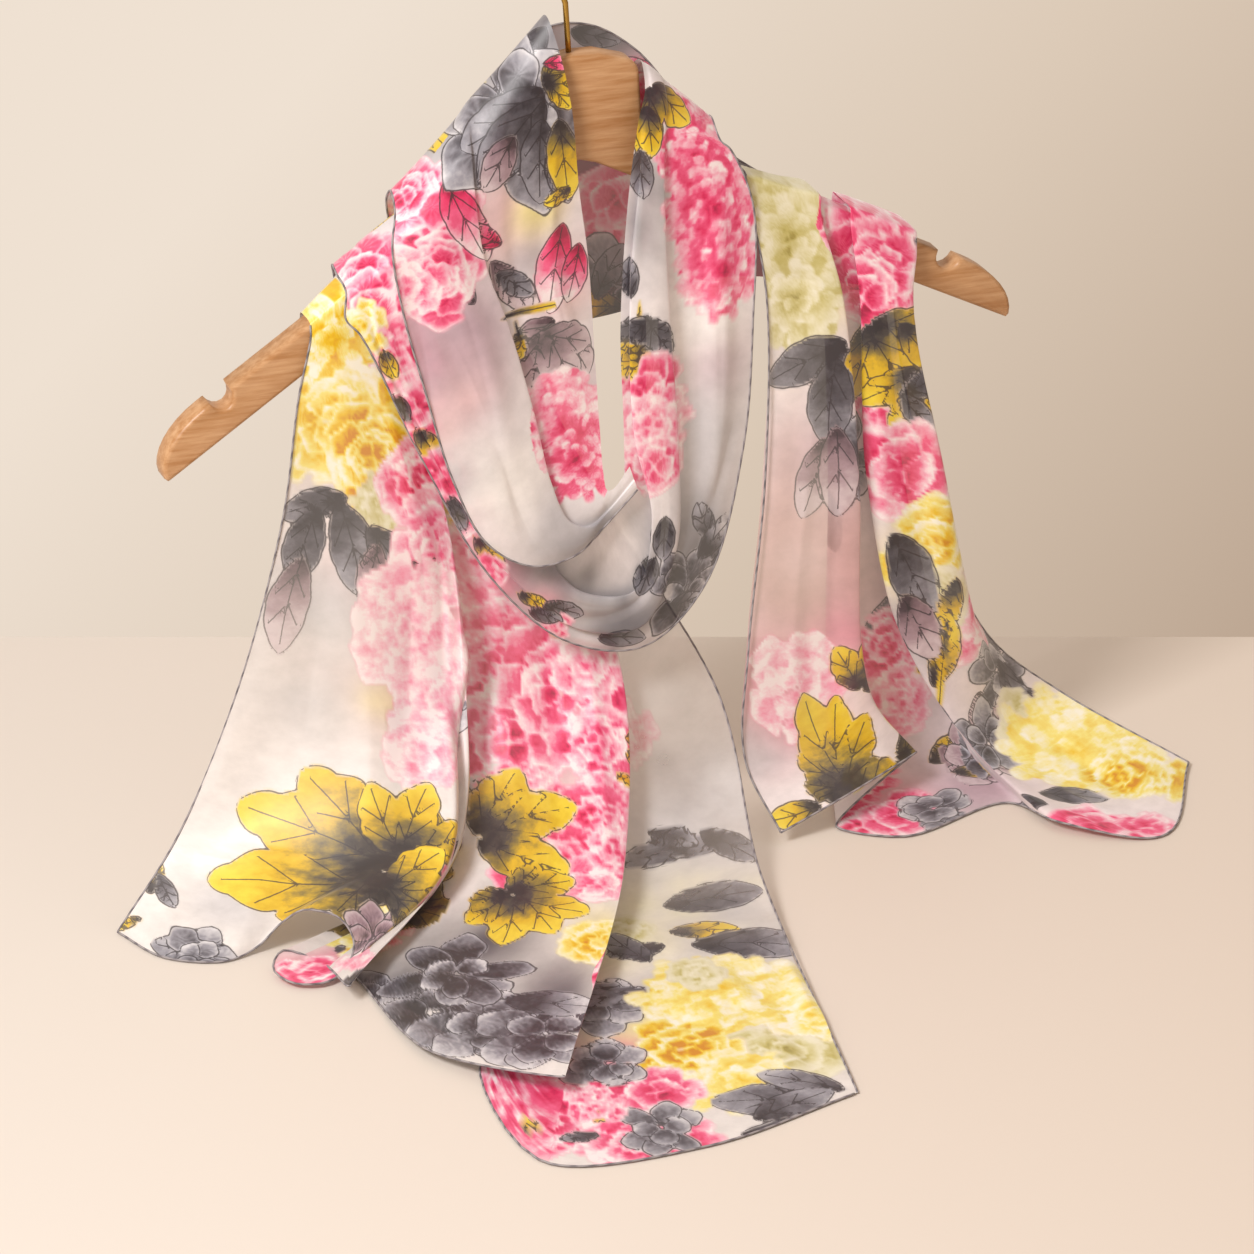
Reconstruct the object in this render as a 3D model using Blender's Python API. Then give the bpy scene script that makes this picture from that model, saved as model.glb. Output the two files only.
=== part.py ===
# Chiffon scarf wound once round a wooden hanger, at real size.
# Metres, +Z up, +X to the viewer's right along the hanger, -Y to the front.
# The origin is the inside top of the hook, where the rail carries it.
# Tables are in millimetres, a row for each section or fold.

import bpy
import bmesh
import numpy as np
from collections import namedtuple
from math import cos, pi, radians, sin, tan

MM = 0.001

# ---- driving dimensions -----------------------------------------------------
CLOTH_WALL = 1.2 * MM          # the cloth's wall
REST_Z = -0.485                # the level that the tails' ends rest on
SEAM_GAP = 0.3 * MM            # between pieces that meet

HANGER_ROLL = radians(3.5)     # the hanger hangs with its left end lower
ARM_SLOPE = radians(30.2)
ARM_LENGTH = 0.260             # along the underside, apex to tip
ARM_HEIGHT = 0.020
ARM_THICKNESS = 0.015
APEX_DROP = 0.1235             # hook's inside top down to the underside's apex
HEAD_HALF_WIDTH = 0.034
HEAD_TOP_DROP = 0.0705
HEAD_SAG = 0.006               # the head's top falls this much to its corners
HEAD_CORNER = 0.009
NECK_FILLET = 0.012
NOTCH_FROM_TIP = 0.047
NOTCH_HALF_WIDTH = 0.0065
NOTCH_DEPTH = 0.008
NOSE_LENGTH = 0.038
APEX_BLEND = 0.010
EDGE_ROUND = 0.0022

WIRE_RADIUS = 0.0015
HOOK_RADIUS = 0.0200           # to the wire's centre line
HOOK_START = radians(236)      # where the shank meets the bend
HOOK_END = radians(-38)
SHANK_BEND_DROP = 0.041

ARM_CLEARANCE = 1.8            # mm from the wood to the nearest cloth's middle
FLAT_RISE = 2.0                # mm, folds that rise less than this lap over nothing
FULL_RISE = 7.5                # mm, folds that rise this much lap fully
ROWS_PER_SECTION = 3           # mesh rows between two sections
FOLD_STEPS = 3                 # mesh columns between two folds

# ---- tables -----------------------------------------------------------------
# One section of a loop, from its neck edge to its outer edge. "facing" is the way the
# cloth's face looks, in degrees: 0 front, 90 up, 180 back. "fold" is how far across the
# front layer's folded edge lies, "lip" where that layer starts, and "rise" how far it
# stands out.
Section = namedtuple("Section", "inner outer facing fold lip rise")

MAIN_LOOP = [
    Section((-60, 18, -172), (-106, 19, -212), 180, 0.75, 0.30, 1.0),
    Section((-61, 17, -138), (-114, 18, -174), 120, 0.75, 0.30, 1.0),
    Section((-62, 0, -134), (-117, 0, -172), 90, 0.75, 0.30, 1.0),
    Section((-62, -14, -139), (-117, -14, -176), 50, 0.75, 0.30, 1.0),
    Section((-64, -18, -152), (-119, -19, -188), 15, 0.76, 0.30, 1.5),
    Section((-79, -23, -182), (-112, -21, -197), 0, 0.78, 0.30, 2.0),
    Section((-45, -22, -256), (-81, -20, -267), 0, 0.80, 0.30, 2.0),
    Section((-15, -26, -299), (-46, -23, -336), 0, 0.82, 0.35, 3.5),
    Section((6, -28, -321), (-6, -26, -376), 0, 0.84, 0.50, 5.0),
    Section((16, -29, -308), (35, -27, -384), 0, 0.80, 0.55, 7.0),
    Section((22, -29, -294), (68, -26, -355), 0, 0.60, 0.30, 8.0),
    Section((23, -28, -263), (89, -23, -285), 0, 0.42, 0.05, 9.0),
    Section((22, -26, -210), (95, -20, -217), 0, 0.35, 0.04, 8.0),
    Section((28, -20, -147), (97, -14, -158), 0, 0.28, 0.06, 4.5),
    Section((36, -14, -105), (85, -13, -127), 10, 0.28, 0.08, 2.0),
    Section((40, -12, -90), (80, -12, -122), 45, 0.28, 0.10, 1.5),
    Section((42, 0, -79), (79, 0, -113), 90, 0.28, 0.10, 1.0),
    Section((41, 13, -88), (78, 13, -124), 135, 0.28, 0.10, 1.0),
    Section((38, 17, -112), (75, 17, -152), 180, 0.28, 0.10, 1.0),
]

FRONT_BAND = [
    Section((-8, 23, -100), (-80, 24, -170), 180, 0.45, 0.00, 1.0),
    Section((-8, 15, -66), (-86, 16, -142), 125, 0.45, 0.00, -1.0),
    Section((-7, 2, -50.5), (-88, 2, -131), 90, 0.45, 0.00, -2.5),
    Section((-4, -11, -67), (-92, -16, -138), 45, 0.45, 0.00, 2.6),
    Section((1, -14, -95), (-98, -28, -151), 15, 0.45, 0.00, 4.0),
    Section((4, -16, -137), (-94, -31, -183), 0, 0.45, 0.00, 6.0),
    Section((8, -18, -174), (-84, -33, -225), 0, 0.50, 0.00, 7.5),
    Section((10, -21, -221), (-71, -35, -273), 0, 0.55, 0.00, 8.0),
    Section((11, -26, -262), (-54, -37, -309), 0, 0.55, 0.00, 7.0),
    Section((11, -31, -283), (-30, -38, -325), 0, 0.50, 0.00, 5.0),
    Section((12, -34, -292), (-6, -37, -323), 0, 0.45, 0.00, 3.0),
    Section((15, -34, -292), (9, -35, -312), 0, 0.40, 0.00, 1.0),
    Section((24, -34, -281), (28, -34, -294), 0, 0.40, 0.00, 1.0),
]

Swag = namedtuple(
    "Swag", "left_end left_arm left_head peak middle right_head right_neck right_arm right_end"
)
NECK_WRAP = [
    # top edge
    Swag((-112, 23, -196), (-84, 23, -158), (-46, 23, -121), (-3, 24, -67),
         (22, 25, -66), (48, 24, -82), (90, 23, -136), (140, 23, -172), (184, 23, -200)),
    # high fold
    Swag((-114, 27, -204), (-86, 29, -168), (-46, 31, -134), (-6, 32, -97),
         (22, 34, -98), (48, 32, -110), (90, 30, -153), (140, 28, -182), (184, 26, -206)),
    # hollow
    Swag((-116, 23, -212), (-88, 24, -180), (-46, 25, -152), (-6, 26, -130),
         (22, 26, -130), (48, 26, -138), (90, 25, -168), (140, 24, -191), (184, 23, -212)),
    # low fold
    Swag((-118, 27, -220), (-90, 30, -196), (-46, 33, -183), (-6, 34, -178),
         (22, 34, -178), (48, 34, -180), (90, 31, -187), (140, 28, -203), (184, 26, -219)),
    # low edge
    Swag((-120, 23, -228), (-92, 24, -212), (-46, 24, -218), (-6, 24, -222),
         (22, 24, -223), (48, 24, -220), (90, 24, -210), (140, 24, -217), (184, 23, -227)),
]

Fold = namedtuple("Fold", "arm chest hip knee foot toe")
LEFT_TAIL = [
    # left hem
    Fold((-134, 0.0, 30), (-142, -12, -230), (-152, -14, -292),
         (-179, -22, -375), (-216, -36, -444), (-255, -55, -484)),
    # first panel
    Fold((-124, 1.5, 28), (-119, -14, -233), (-118, -18, -296),
         (-137, -32, -380), (-169, -70, -446), (-223, -100, -484)),
    # curl crest
    Fold((-115, 2.5, 27), (-103, -13, -235), (-89, -16, -301),
         (-99, -34, -385), (-123, -80, -449), (-181, -125, -454)),
    # first fold
    Fold((-108, 3.5, 26), (-88, -13, -237), (-66, -13, -305),
         (-63, -32, -391), (-85, -81, -452), (-171, -170, -474)),
    # behind first fold
    Fold((-102, 0.5, 26), (-94, -3, -240), (-88, -2, -307),
         (-98, -4, -396), (-108, -52, -474), (-160, -142, -484)),
    # second panel
    Fold((-95, 2.0, 25), (-62, -8, -243), (-33, -8, -312),
         (-29, -16, -403), (-64, -93, -462), (-152, -237, -480)),
    # second fold
    Fold((-87, 3.5, 25), (-37, -13, -245), (2, -13, -315),
         (25, -24, -408), (-9, -116, -464), (-105, -299, -472)),
    # behind second fold
    Fold((-81, 0.5, 25), (-44, -2, -248), (-17, -1, -317),
         (-11, -3, -412), (-42, -95, -481), (-130, -250, -484)),
    # ruffle corner
    Fold((-74, 1.5, 25), (-31, -3, -249), (-3, -3, -318),
         (25, -8, -415), (-20, -112, -482), (-134, -356, -484)),
    # third panel
    Fold((-63, 1.5, 24), (-20, -6, -249), (11, -6, -319),
         (51, -12, -418), (25, -119, -480), (-59, -366, -484)),
    # right hem
    Fold((-52, 0.5, 24), (-8, -5, -252), (25, -6, -321),
         (79, -14, -421), (62, -123, -474), (28, -340, -484)),
]

RIGHT_TAIL = [
    # left hem
    Fold((95, 0.5, 26), (103, -18, -206), (100, -26, -302),
         (87, -38, -390), (81, -50, -445), (92, -73, -478)),
    # first panel
    Fold((117, 2.0, 26), (124, -18, -211), (125, -26, -305),
         (119, -36, -396), (121, -46, -451), (133, -65, -466)),
    # first fold
    Fold((134, 4.0, 26), (144, -20, -213), (150, -30, -307),
         (149, -38, -394), (154, -42, -426), (179, -42, -460)),
    # behind first fold
    Fold((129, 0.0, 26), (136, -10, -215), (139, -14, -312),
         (138, -16, -401), (145, -8, -482), (126, -64, -484)),
    # middle panel
    Fold((142, 0.5, 26), (152, -10, -217), (162, -12, -316),
         (176, -12, -409), (183, -18, -476), (155, -87, -484)),
    # behind second fold
    Fold((158, 0.5, 26), (170, -10, -220), (182, -12, -319),
         (204, -12, -413), (218, -18, -476), (220, -68, -484)),
    # second fold
    Fold((150, 4.0, 26), (154, -17, -215), (157, -22, -311),
         (176, -30, -401), (213, -38, -465), (233, -107, -480)),
    # right side
    Fold((186, 4.5, 26), (182, -20, -218), (199, -26, -316),
         (217, -26, -411), (226, -32, -466), (278, -132, -484)),
    # right hem
    Fold((178, 1.0, 26), (177, -6, -222), (197, -5, -324),
         (236, 4, -420), (277, -2, -458), (327, -57, -483)),
]

# ---- curves and sheets ------------------------------------------------------
def curve(points, steps, level=False):
    """Smooth curve through points; steps is a count, or one count for each gap.

    With level, heights are kept from dipping below or rising above their neighbours.
    """
    points = np.asarray(points, dtype=float)
    if isinstance(steps, int):
        steps = [steps] * (len(points) - 1)
    chord = np.linalg.norm(np.diff(points, axis=0), axis=1)
    knots = np.concatenate([[0.0], np.cumsum(np.sqrt(np.maximum(chord, 1e-6)))])
    slope = np.diff(points, axis=0) / np.diff(knots)[:, None]
    before = np.diff(knots)[:-1, None]
    after = np.diff(knots)[1:, None]
    middle = (slope[:-1] * after + slope[1:] * before) / (before + after)
    if level:
        before_z = slope[:-1, 2]
        after_z = slope[1:, 2]
        most = 3.0 * np.minimum(np.abs(before_z), np.abs(after_z))
        middle[:, 2] = np.where(before_z * after_z > 0.0, np.clip(middle[:, 2], -most, most), 0.0)
    tangent = np.concatenate([slope[:1], middle, slope[-1:]])
    result = []
    for i, count in enumerate(steps):
        span = knots[i + 1] - knots[i]
        for step in range(count):
            t = step / count
            result.append(
                (2 * t**3 - 3 * t**2 + 1) * points[i]
                + (t**3 - 2 * t**2 + t) * span * tangent[i]
                + (3 * t**2 - 2 * t**3) * points[i + 1]
                + (t**3 - t**2) * span * tangent[i + 1]
            )
    result.append(points[-1])
    return np.array(result)


def sheet_grid(lines, along, across, level=False):
    """Grid of centre points in metres, from fold lines given in millimetres."""
    rows = np.stack([curve(line, along, level) for line in lines], axis=1)
    grid = np.array([curve(row, across, level) for row in rows]) * MM
    grid[:, :, 2] = np.maximum(grid[:, :, 2], REST_Z + CLOTH_WALL / 2)
    return grid


def arm_top(x):
    """Height of the rolled arm's top edge above a place along X, in mm."""
    apex_x, apex_z = roll(0.0, -APEX_DROP * 1000)
    slope = ARM_SLOPE + HANGER_ROLL if x < apex_x else ARM_SLOPE - HANGER_ROLL
    return apex_z - abs(x - apex_x) * tan(slope) + ARM_HEIGHT * 1000 / cos(slope)


def over_arm(x, layer, drop):
    """A fold's way over the arm, from its end behind to the front, in mm."""
    top = arm_top(x)
    out = ARM_CLEARANCE + layer
    face = ARM_THICKNESS * 500 + out
    crown = top + out * 1.2
    return [
        (x, face, top - drop),
        (x, face, top - 4.0),
        (x, face - 1.8, crown - 0.6),
        (x, 0.0, crown),
        (x, 1.8 - face, crown - 0.6),
        (x, -face, top - 4.0),
    ]


def tail_grid(folds):
    lines = [over_arm(*fold.arm) + list(fold[1:]) for fold in folds]
    along = [2, 1, 1, 1, 1] + [ROWS_PER_SECTION] * (len(folds[0]) - 1)
    return sheet_grid(lines, along, FOLD_STEPS, level=True)


def fold_grip(section, most):
    """How far the front layer laps over, as a share of the width; flat where it hardly rises."""
    share = (section.rise - FLAT_RISE) / (FULL_RISE - FLAT_RISE)
    return -0.05 + (most + 0.05) * min(1.0, max(0.0, share))


def band_profile(section):
    """Across and height of the band's folds, from its outer hem to its neck edge."""
    grip = fold_grip(section, 0.26)
    fold = section.fold
    rest = 0.5 + 0.5 * fold
    return [(0.0, 0.45), (0.5 * fold, 1.0), (fold, 0.75), (fold - grip, 0.1), (rest, 0.3), (1.0, 0.0)]


def loop_profile(section):
    """Across and height of the loop's folds, from its neck edge to its outer edge."""
    grip = fold_grip(section, 0.15)
    fold = section.fold
    lip = section.lip
    under = lip + grip
    crest = 0.5 * (lip + fold)
    rest = fold + 0.55 * (1.0 - fold)
    return [
        (0.0, 0.0), (under, 0.1), (lip, 0.72), (crest, 1.0),
        (fold, 0.72), (fold - 0.5 * grip, 0.12), (rest, 0.35), (1.0, 0.0),
    ]


def loop_grid(sections, profile, from_outer, across):
    """Grid of a loop's centre points, its folds set out in every section."""
    rows = []
    for section in sections:
        inner = np.array(section.inner, dtype=float)
        outer = np.array(section.outer, dtype=float)
        start, end = (outer, inner) if from_outer else (inner, outer)
        turn = radians(section.facing)
        outward = np.array([0.0, -cos(turn), sin(turn)]) * section.rise
        rows.append([start + (end - start) * a + outward * h for a, h in profile(section)])
    return sheet_grid(np.transpose(rows, (1, 0, 2)), ROWS_PER_SECTION, across)


def directions(grid, axis):
    """Unit direction at every grid point: the mean of the steps on either side."""
    step = np.diff(grid, axis=axis)
    step /= np.linalg.norm(step, axis=2)[:, :, None] + 1e-12
    first = np.take(step, [0], axis=axis)
    last = np.take(step, [-1], axis=axis)
    return np.concatenate([first, step], axis=axis) + np.concatenate([step, last], axis=axis)


def unit(vectors):
    return vectors / np.linalg.norm(vectors, axis=2)[:, :, None]


def pleat_normals(grid):
    """Normals midway between the cloth before each point and after it, also in a hairpin fold."""
    along = directions(grid, 0)
    steps = np.diff(grid, axis=1)
    before = np.concatenate([steps[:, :1], steps], axis=1)
    after = np.concatenate([steps, steps[:, -1:]], axis=1)
    return unit(unit(np.cross(before, along)) + unit(np.cross(after, along)))


def wall_mesh(name, grid, pleated=False, thickness=CLOTH_WALL):
    """Closed wall of even thickness round a grid of centre points."""
    normal = pleat_normals(grid) if pleated else unit(np.cross(directions(grid, 1), directions(grid, 0)))
    rows, columns = grid.shape[:2]
    front = (grid + normal * thickness / 2).reshape(-1, 3)
    back = (grid - normal * thickness / 2).reshape(-1, 3)
    count = rows * columns
    faces = []
    for r in range(rows - 1):
        for c in range(columns - 1):
            a = r * columns + c
            b = a + columns + 1
            for face in ((a, a + 1, b), (a, b, a + columns)):
                faces.append(face)
                faces.append(tuple(count + i for i in reversed(face)))
    rim = [c for c in range(columns)]
    rim += [r * columns + columns - 1 for r in range(1, rows)]
    rim += [(rows - 1) * columns + c for c in range(columns - 2, -1, -1)]
    rim += [r * columns for r in range(rows - 2, 0, -1)]
    for i, a in enumerate(rim):
        b = rim[(i + 1) % len(rim)]
        faces.append((b, a, count + a, count + b))
    mesh = bpy.data.meshes.new(name)
    mesh.from_pydata(np.concatenate([front, back]).tolist(), [], faces)
    mesh.update()
    return mesh


def material(name, colour, roughness, metallic=0.0):
    result = bpy.data.materials.new(name)
    result.use_nodes = True
    shader = result.node_tree.nodes["Principled BSDF"]
    shader.inputs["Base Color"].default_value = (*colour, 1.0)
    shader.inputs["Roughness"].default_value = roughness
    shader.inputs["Metallic"].default_value = metallic
    return result


def add_object(name, data, paint, smooth=True):
    item = bpy.data.objects.new(name, data)
    bpy.context.scene.collection.objects.link(item)
    data.materials.append(paint)
    if smooth and item.type == "MESH":
        data.polygons.foreach_set("use_smooth", [True] * len(data.polygons))
    return item


# ---- hanger -----------------------------------------------------------------
def arc(centre, radius_x, radius_z, start, end, steps):
    return [
        (
            centre[0] + radius_x * cos(start + (end - start) * i / steps),
            centre[1] + radius_z * sin(start + (end - start) * i / steps),
        )
        for i in range(steps + 1)
    ]


def arm_outline():
    """Right half of the outline, from the head's top middle down round to the apex."""
    top_z = -HEAD_TOP_DROP
    points = [(0.0, top_z), (HEAD_HALF_WIDTH * 0.4, top_z - HEAD_SAG * 0.2)]
    corner = (HEAD_HALF_WIDTH - HEAD_CORNER, top_z - HEAD_SAG - HEAD_CORNER)
    points += arc(corner, HEAD_CORNER, HEAD_CORNER, pi / 2 - 0.3, 0.0, 6)
    along = np.array([cos(ARM_SLOPE), -sin(ARM_SLOPE)])
    up = np.array([sin(ARM_SLOPE), cos(ARM_SLOPE)])
    apex = np.array([0.0, -APEX_DROP])

    def on_arm(length, height):
        return tuple(apex + along * length + up * height)

    # the head's side falls straight, then a fillet turns it onto the arm's top
    top_at_side = (HEAD_HALF_WIDTH - ARM_HEIGHT * up[0]) / along[0]
    side_foot = on_arm(top_at_side, ARM_HEIGHT)
    points.append((HEAD_HALF_WIDTH, side_foot[1] + NECK_FILLET * 0.8))
    points.append((HEAD_HALF_WIDTH + NECK_FILLET * 0.18, side_foot[1] + NECK_FILLET * 0.28))
    points.append(on_arm(top_at_side + NECK_FILLET * 0.8, ARM_HEIGHT))
    notch = ARM_LENGTH - NOTCH_FROM_TIP
    dip = arc((notch, ARM_HEIGHT), NOTCH_HALF_WIDTH, NOTCH_DEPTH, pi, 2 * pi, 8)
    points += [on_arm(a, h) for a, h in dip]
    nose = (ARM_LENGTH - NOSE_LENGTH + NOTCH_HALF_WIDTH * 0.3, 0.0)
    nose_reach = ARM_LENGTH - nose[0]
    points += [on_arm(a, h) for a, h in arc(nose, nose_reach, ARM_HEIGHT, pi / 2, 0.12, 8)]
    points.append(on_arm(ARM_LENGTH - 0.001, 0.0))
    points.append(on_arm(APEX_BLEND, 0.0))
    return points


def roll(x, z):
    return (x * cos(HANGER_ROLL) - z * sin(HANGER_ROLL), x * sin(HANGER_ROLL) + z * cos(HANGER_ROLL))


def hanger_shoulders(paint):
    right = arm_outline()
    apex = (0.0, -APEX_DROP - APEX_BLEND * sin(ARM_SLOPE) * 0.4)
    left = [(-x, z) for x, z in reversed(right[1:])]
    outline = [roll(x, z) for x, z in right + [apex] + left]
    mesh = bpy.data.meshes.new("hanger_shoulders")
    shape = bmesh.new()
    back = [shape.verts.new((x, ARM_THICKNESS / 2, z)) for x, z in outline]
    face = shape.faces.new(back)
    pushed = bmesh.ops.extrude_face_region(shape, geom=[face])
    front = [v for v in pushed["geom"] if isinstance(v, bmesh.types.BMVert)]
    bmesh.ops.translate(shape, verts=front, vec=(0.0, -ARM_THICKNESS, 0.0))
    bmesh.ops.recalc_face_normals(shape, faces=shape.faces)
    rims = [e for e in shape.edges if abs(e.verts[0].co.y - e.verts[1].co.y) < 1e-6]
    bmesh.ops.bevel(
        shape, geom=rims, offset=EDGE_ROUND, segments=2,
        profile=0.5, affect="EDGES", clamp_overlap=True,
    )
    shape.to_mesh(mesh)
    shape.free()
    return add_object("hanger_shoulders", mesh, paint, smooth=False)


def hanger_hook(paint):
    """One wire: a shank off the head's top, an offset bend, then the hook's arc."""
    centre = (0.0, WIRE_RADIUS - HOOK_RADIUS)
    bend = arc(centre, HOOK_RADIUS, HOOK_RADIUS, HOOK_START, HOOK_END, 20)
    foot = -HEAD_TOP_DROP + SEAM_GAP
    offset = HOOK_RADIUS * cos(HOOK_START)
    shank = [
        (0.0, 0.0, foot + 0.008),
        (0.0, 0.0, -SHANK_BEND_DROP - 0.004),
        (offset * 0.25, 0.0, -SHANK_BEND_DROP + 0.0025),
        (bend[0][0], 0.0, bend[0][1]),
    ]
    joined = curve(shank, [1, 3, 3])
    points = [(0.0, 0.0, foot)] + joined.tolist() + [(x, 0.0, z) for x, z in bend[1:]]
    data = bpy.data.curves.new("hanger_hook", "CURVE")
    data.dimensions = "3D"
    data.bevel_depth = WIRE_RADIUS
    data.bevel_resolution = 2
    data.use_fill_caps = True
    spline = data.splines.new("POLY")
    spline.points.add(len(points) - 1)
    for point, (x, y, z) in zip(spline.points, points):
        rolled = roll(x, z)
        point.co = (rolled[0], y, rolled[1], 1.0)
    return add_object("hanger_hook", data, paint)


# ---- build ------------------------------------------------------------------
def build():
    for item in list(bpy.data.objects):
        bpy.data.objects.remove(item, do_unlink=True)
    wood = material("hanger_wood", (0.49, 0.30, 0.14), 0.45)
    brass = material("hook_brass", (0.55, 0.38, 0.16), 0.32, 1.0)
    hanger_shoulders(wood)
    hanger_hook(brass)
    band = material("band_chiffon", (0.78, 0.55, 0.60), 0.5)
    loop = material("loop_chiffon", (0.68, 0.64, 0.66), 0.5)
    wrap = material("wrap_chiffon", (0.55, 0.35, 0.40), 0.5)
    left = material("left_tail_chiffon", (0.82, 0.72, 0.62), 0.5)
    right = material("right_tail_chiffon", (0.80, 0.60, 0.45), 0.5)
    band_grid = loop_grid(FRONT_BAND, band_profile, True, 3)
    main_grid = loop_grid(MAIN_LOOP, loop_profile, False, [2, 3, 2, 2, 3, 2, 2])
    add_object("front_band", wall_mesh("front_band", band_grid), band)
    add_object("main_loop", wall_mesh("main_loop", main_grid), loop)
    add_object("neck_wrap", wall_mesh("neck_wrap", sheet_grid(NECK_WRAP, 3, 2)), wrap)
    add_object("left_tail", wall_mesh("left_tail", tail_grid(LEFT_TAIL), pleated=True), left)
    add_object("right_tail", wall_mesh("right_tail", tail_grid(RIGHT_TAIL), pleated=True), right)

build()
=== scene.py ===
from collections import namedtuple
from math import cos, hypot, pi, radians, sin, tan

import bpy
import numpy as np
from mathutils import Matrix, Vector


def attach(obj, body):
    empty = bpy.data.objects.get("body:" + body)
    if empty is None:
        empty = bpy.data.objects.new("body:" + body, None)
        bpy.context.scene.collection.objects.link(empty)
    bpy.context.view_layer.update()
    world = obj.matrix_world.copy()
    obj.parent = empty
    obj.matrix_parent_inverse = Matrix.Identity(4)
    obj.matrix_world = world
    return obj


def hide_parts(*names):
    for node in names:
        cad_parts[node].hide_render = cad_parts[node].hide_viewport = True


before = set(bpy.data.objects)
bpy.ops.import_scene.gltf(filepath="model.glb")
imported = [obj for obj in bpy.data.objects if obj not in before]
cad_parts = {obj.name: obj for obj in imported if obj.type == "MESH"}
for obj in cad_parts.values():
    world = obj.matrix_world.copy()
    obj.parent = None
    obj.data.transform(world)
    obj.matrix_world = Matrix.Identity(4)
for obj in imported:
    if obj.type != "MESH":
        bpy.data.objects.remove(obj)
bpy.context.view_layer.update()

# A printed chiffon scarf wound once round a wooden hanger. Tables are in millimetres, the rest in metres.
mm = 0.001

view = {
    "eye": Vector((-1.0946, -3.1034, 1.0855)),
    "azimuth": radians(-20),
    "elevation": radians(24),
    "lens": 202.8,
    "sensor": 36.0,
    "pictureSize": 1254,
    "farthest": 30.0,
}


def viewAxes():
    a, e = view["azimuth"], view["elevation"]
    back = np.array([sin(a) * cos(e), -cos(a) * cos(e), sin(e)])
    right = np.array([cos(a), sin(a), 0.0])
    return right, np.cross(back, right), back


def seenAt(points):
    # picture places and depth of points, from the camera
    right, up, back = viewAxes()
    away = points - np.array(view["eye"])
    depth = -(away @ back)
    scale = view["pictureSize"] * view["lens"] / view["sensor"] / depth
    middle = view["pictureSize"] / 2
    return middle + away @ right * scale, middle - away @ up * scale, depth


# Sections across the loop's cloth, from its back over the hanger to its front.
Section = namedtuple("Section", "inner outer facing fold lip rise")
mainLoopSections = [
    ((-60, 18, -172), (-106, 19, -212), 180, 0.75, 0.3, 1.0),
    ((-61, 17, -138), (-114, 18, -174), 120, 0.75, 0.3, 1.0),
    ((-62, 0, -134), (-117, 0, -172), 90, 0.75, 0.3, 1.0),
    ((-62, -14, -139), (-117, -14, -176), 50, 0.75, 0.3, 1.0),
    ((-64, -18, -152), (-119, -19, -188), 15, 0.76, 0.3, 1.5),
    ((-79, -23, -182), (-112, -21, -197), 0, 0.78, 0.3, 2.0),
    ((-45, -22, -256), (-81, -20, -267), 0, 0.8, 0.3, 2.0),
    ((-15, -26, -299), (-46, -23, -336), 0, 0.82, 0.35, 3.5),
    ((6, -28, -321), (-6, -26, -376), 0, 0.84, 0.5, 5.0),
    ((16, -29, -308), (35, -27, -384), 0, 0.8, 0.55, 7.0),
    ((22, -29, -294), (68, -26, -355), 0, 0.6, 0.3, 8.0),
    ((23, -28, -263), (89, -23, -285), 0, 0.42, 0.05, 9.0),
    ((22, -26, -210), (95, -20, -217), 0, 0.35, 0.04, 8.0),
    ((28, -20, -147), (97, -14, -158), 0, 0.28, 0.06, 4.5),
    ((36, -14, -105), (85, -13, -127), 10, 0.28, 0.08, 2.0),
    ((40, -12, -90), (80, -12, -122), 45, 0.28, 0.1, 1.5),
    ((42, 0, -79), (79, 0, -113), 90, 0.28, 0.1, 1.0),
    ((41, 13, -88), (78, 13, -124), 135, 0.28, 0.1, 1.0),
    ((38, 17, -112), (75, 17, -152), 180, 0.28, 0.1, 1.0),
]
frontBandSections = [
    ((-8, 23, -100), (-80, 24, -170), 180, 0.45, 0.0, 1.0),
    ((-8, 15, -66), (-86, 16, -142), 125, 0.45, 0.0, -1.0),
    ((-7, 2, -50.5), (-88, 2, -131), 90, 0.45, 0.0, -2.5),
    ((-4, -11, -67), (-92, -16, -138), 45, 0.45, 0.0, 2.6),
    ((1, -14, -95), (-98, -28, -151), 15, 0.45, 0.0, 4.0),
    ((4, -16, -137), (-94, -31, -183), 0, 0.45, 0.0, 6.0),
    ((8, -18, -174), (-84, -33, -225), 0, 0.5, 0.0, 7.5),
    ((10, -21, -221), (-71, -35, -273), 0, 0.55, 0.0, 8.0),
    ((11, -26, -262), (-54, -37, -309), 0, 0.55, 0.0, 7.0),
    ((11, -31, -283), (-30, -38, -325), 0, 0.5, 0.0, 5.0),
    ((12, -34, -292), (-6, -37, -323), 0, 0.45, 0.0, 3.0),
    ((15, -34, -292), (9, -35, -312), 0, 0.4, 0.0, 1.0),
    ((24, -34, -281), (28, -34, -294), 0, 0.4, 0.0, 1.0),
]

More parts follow.
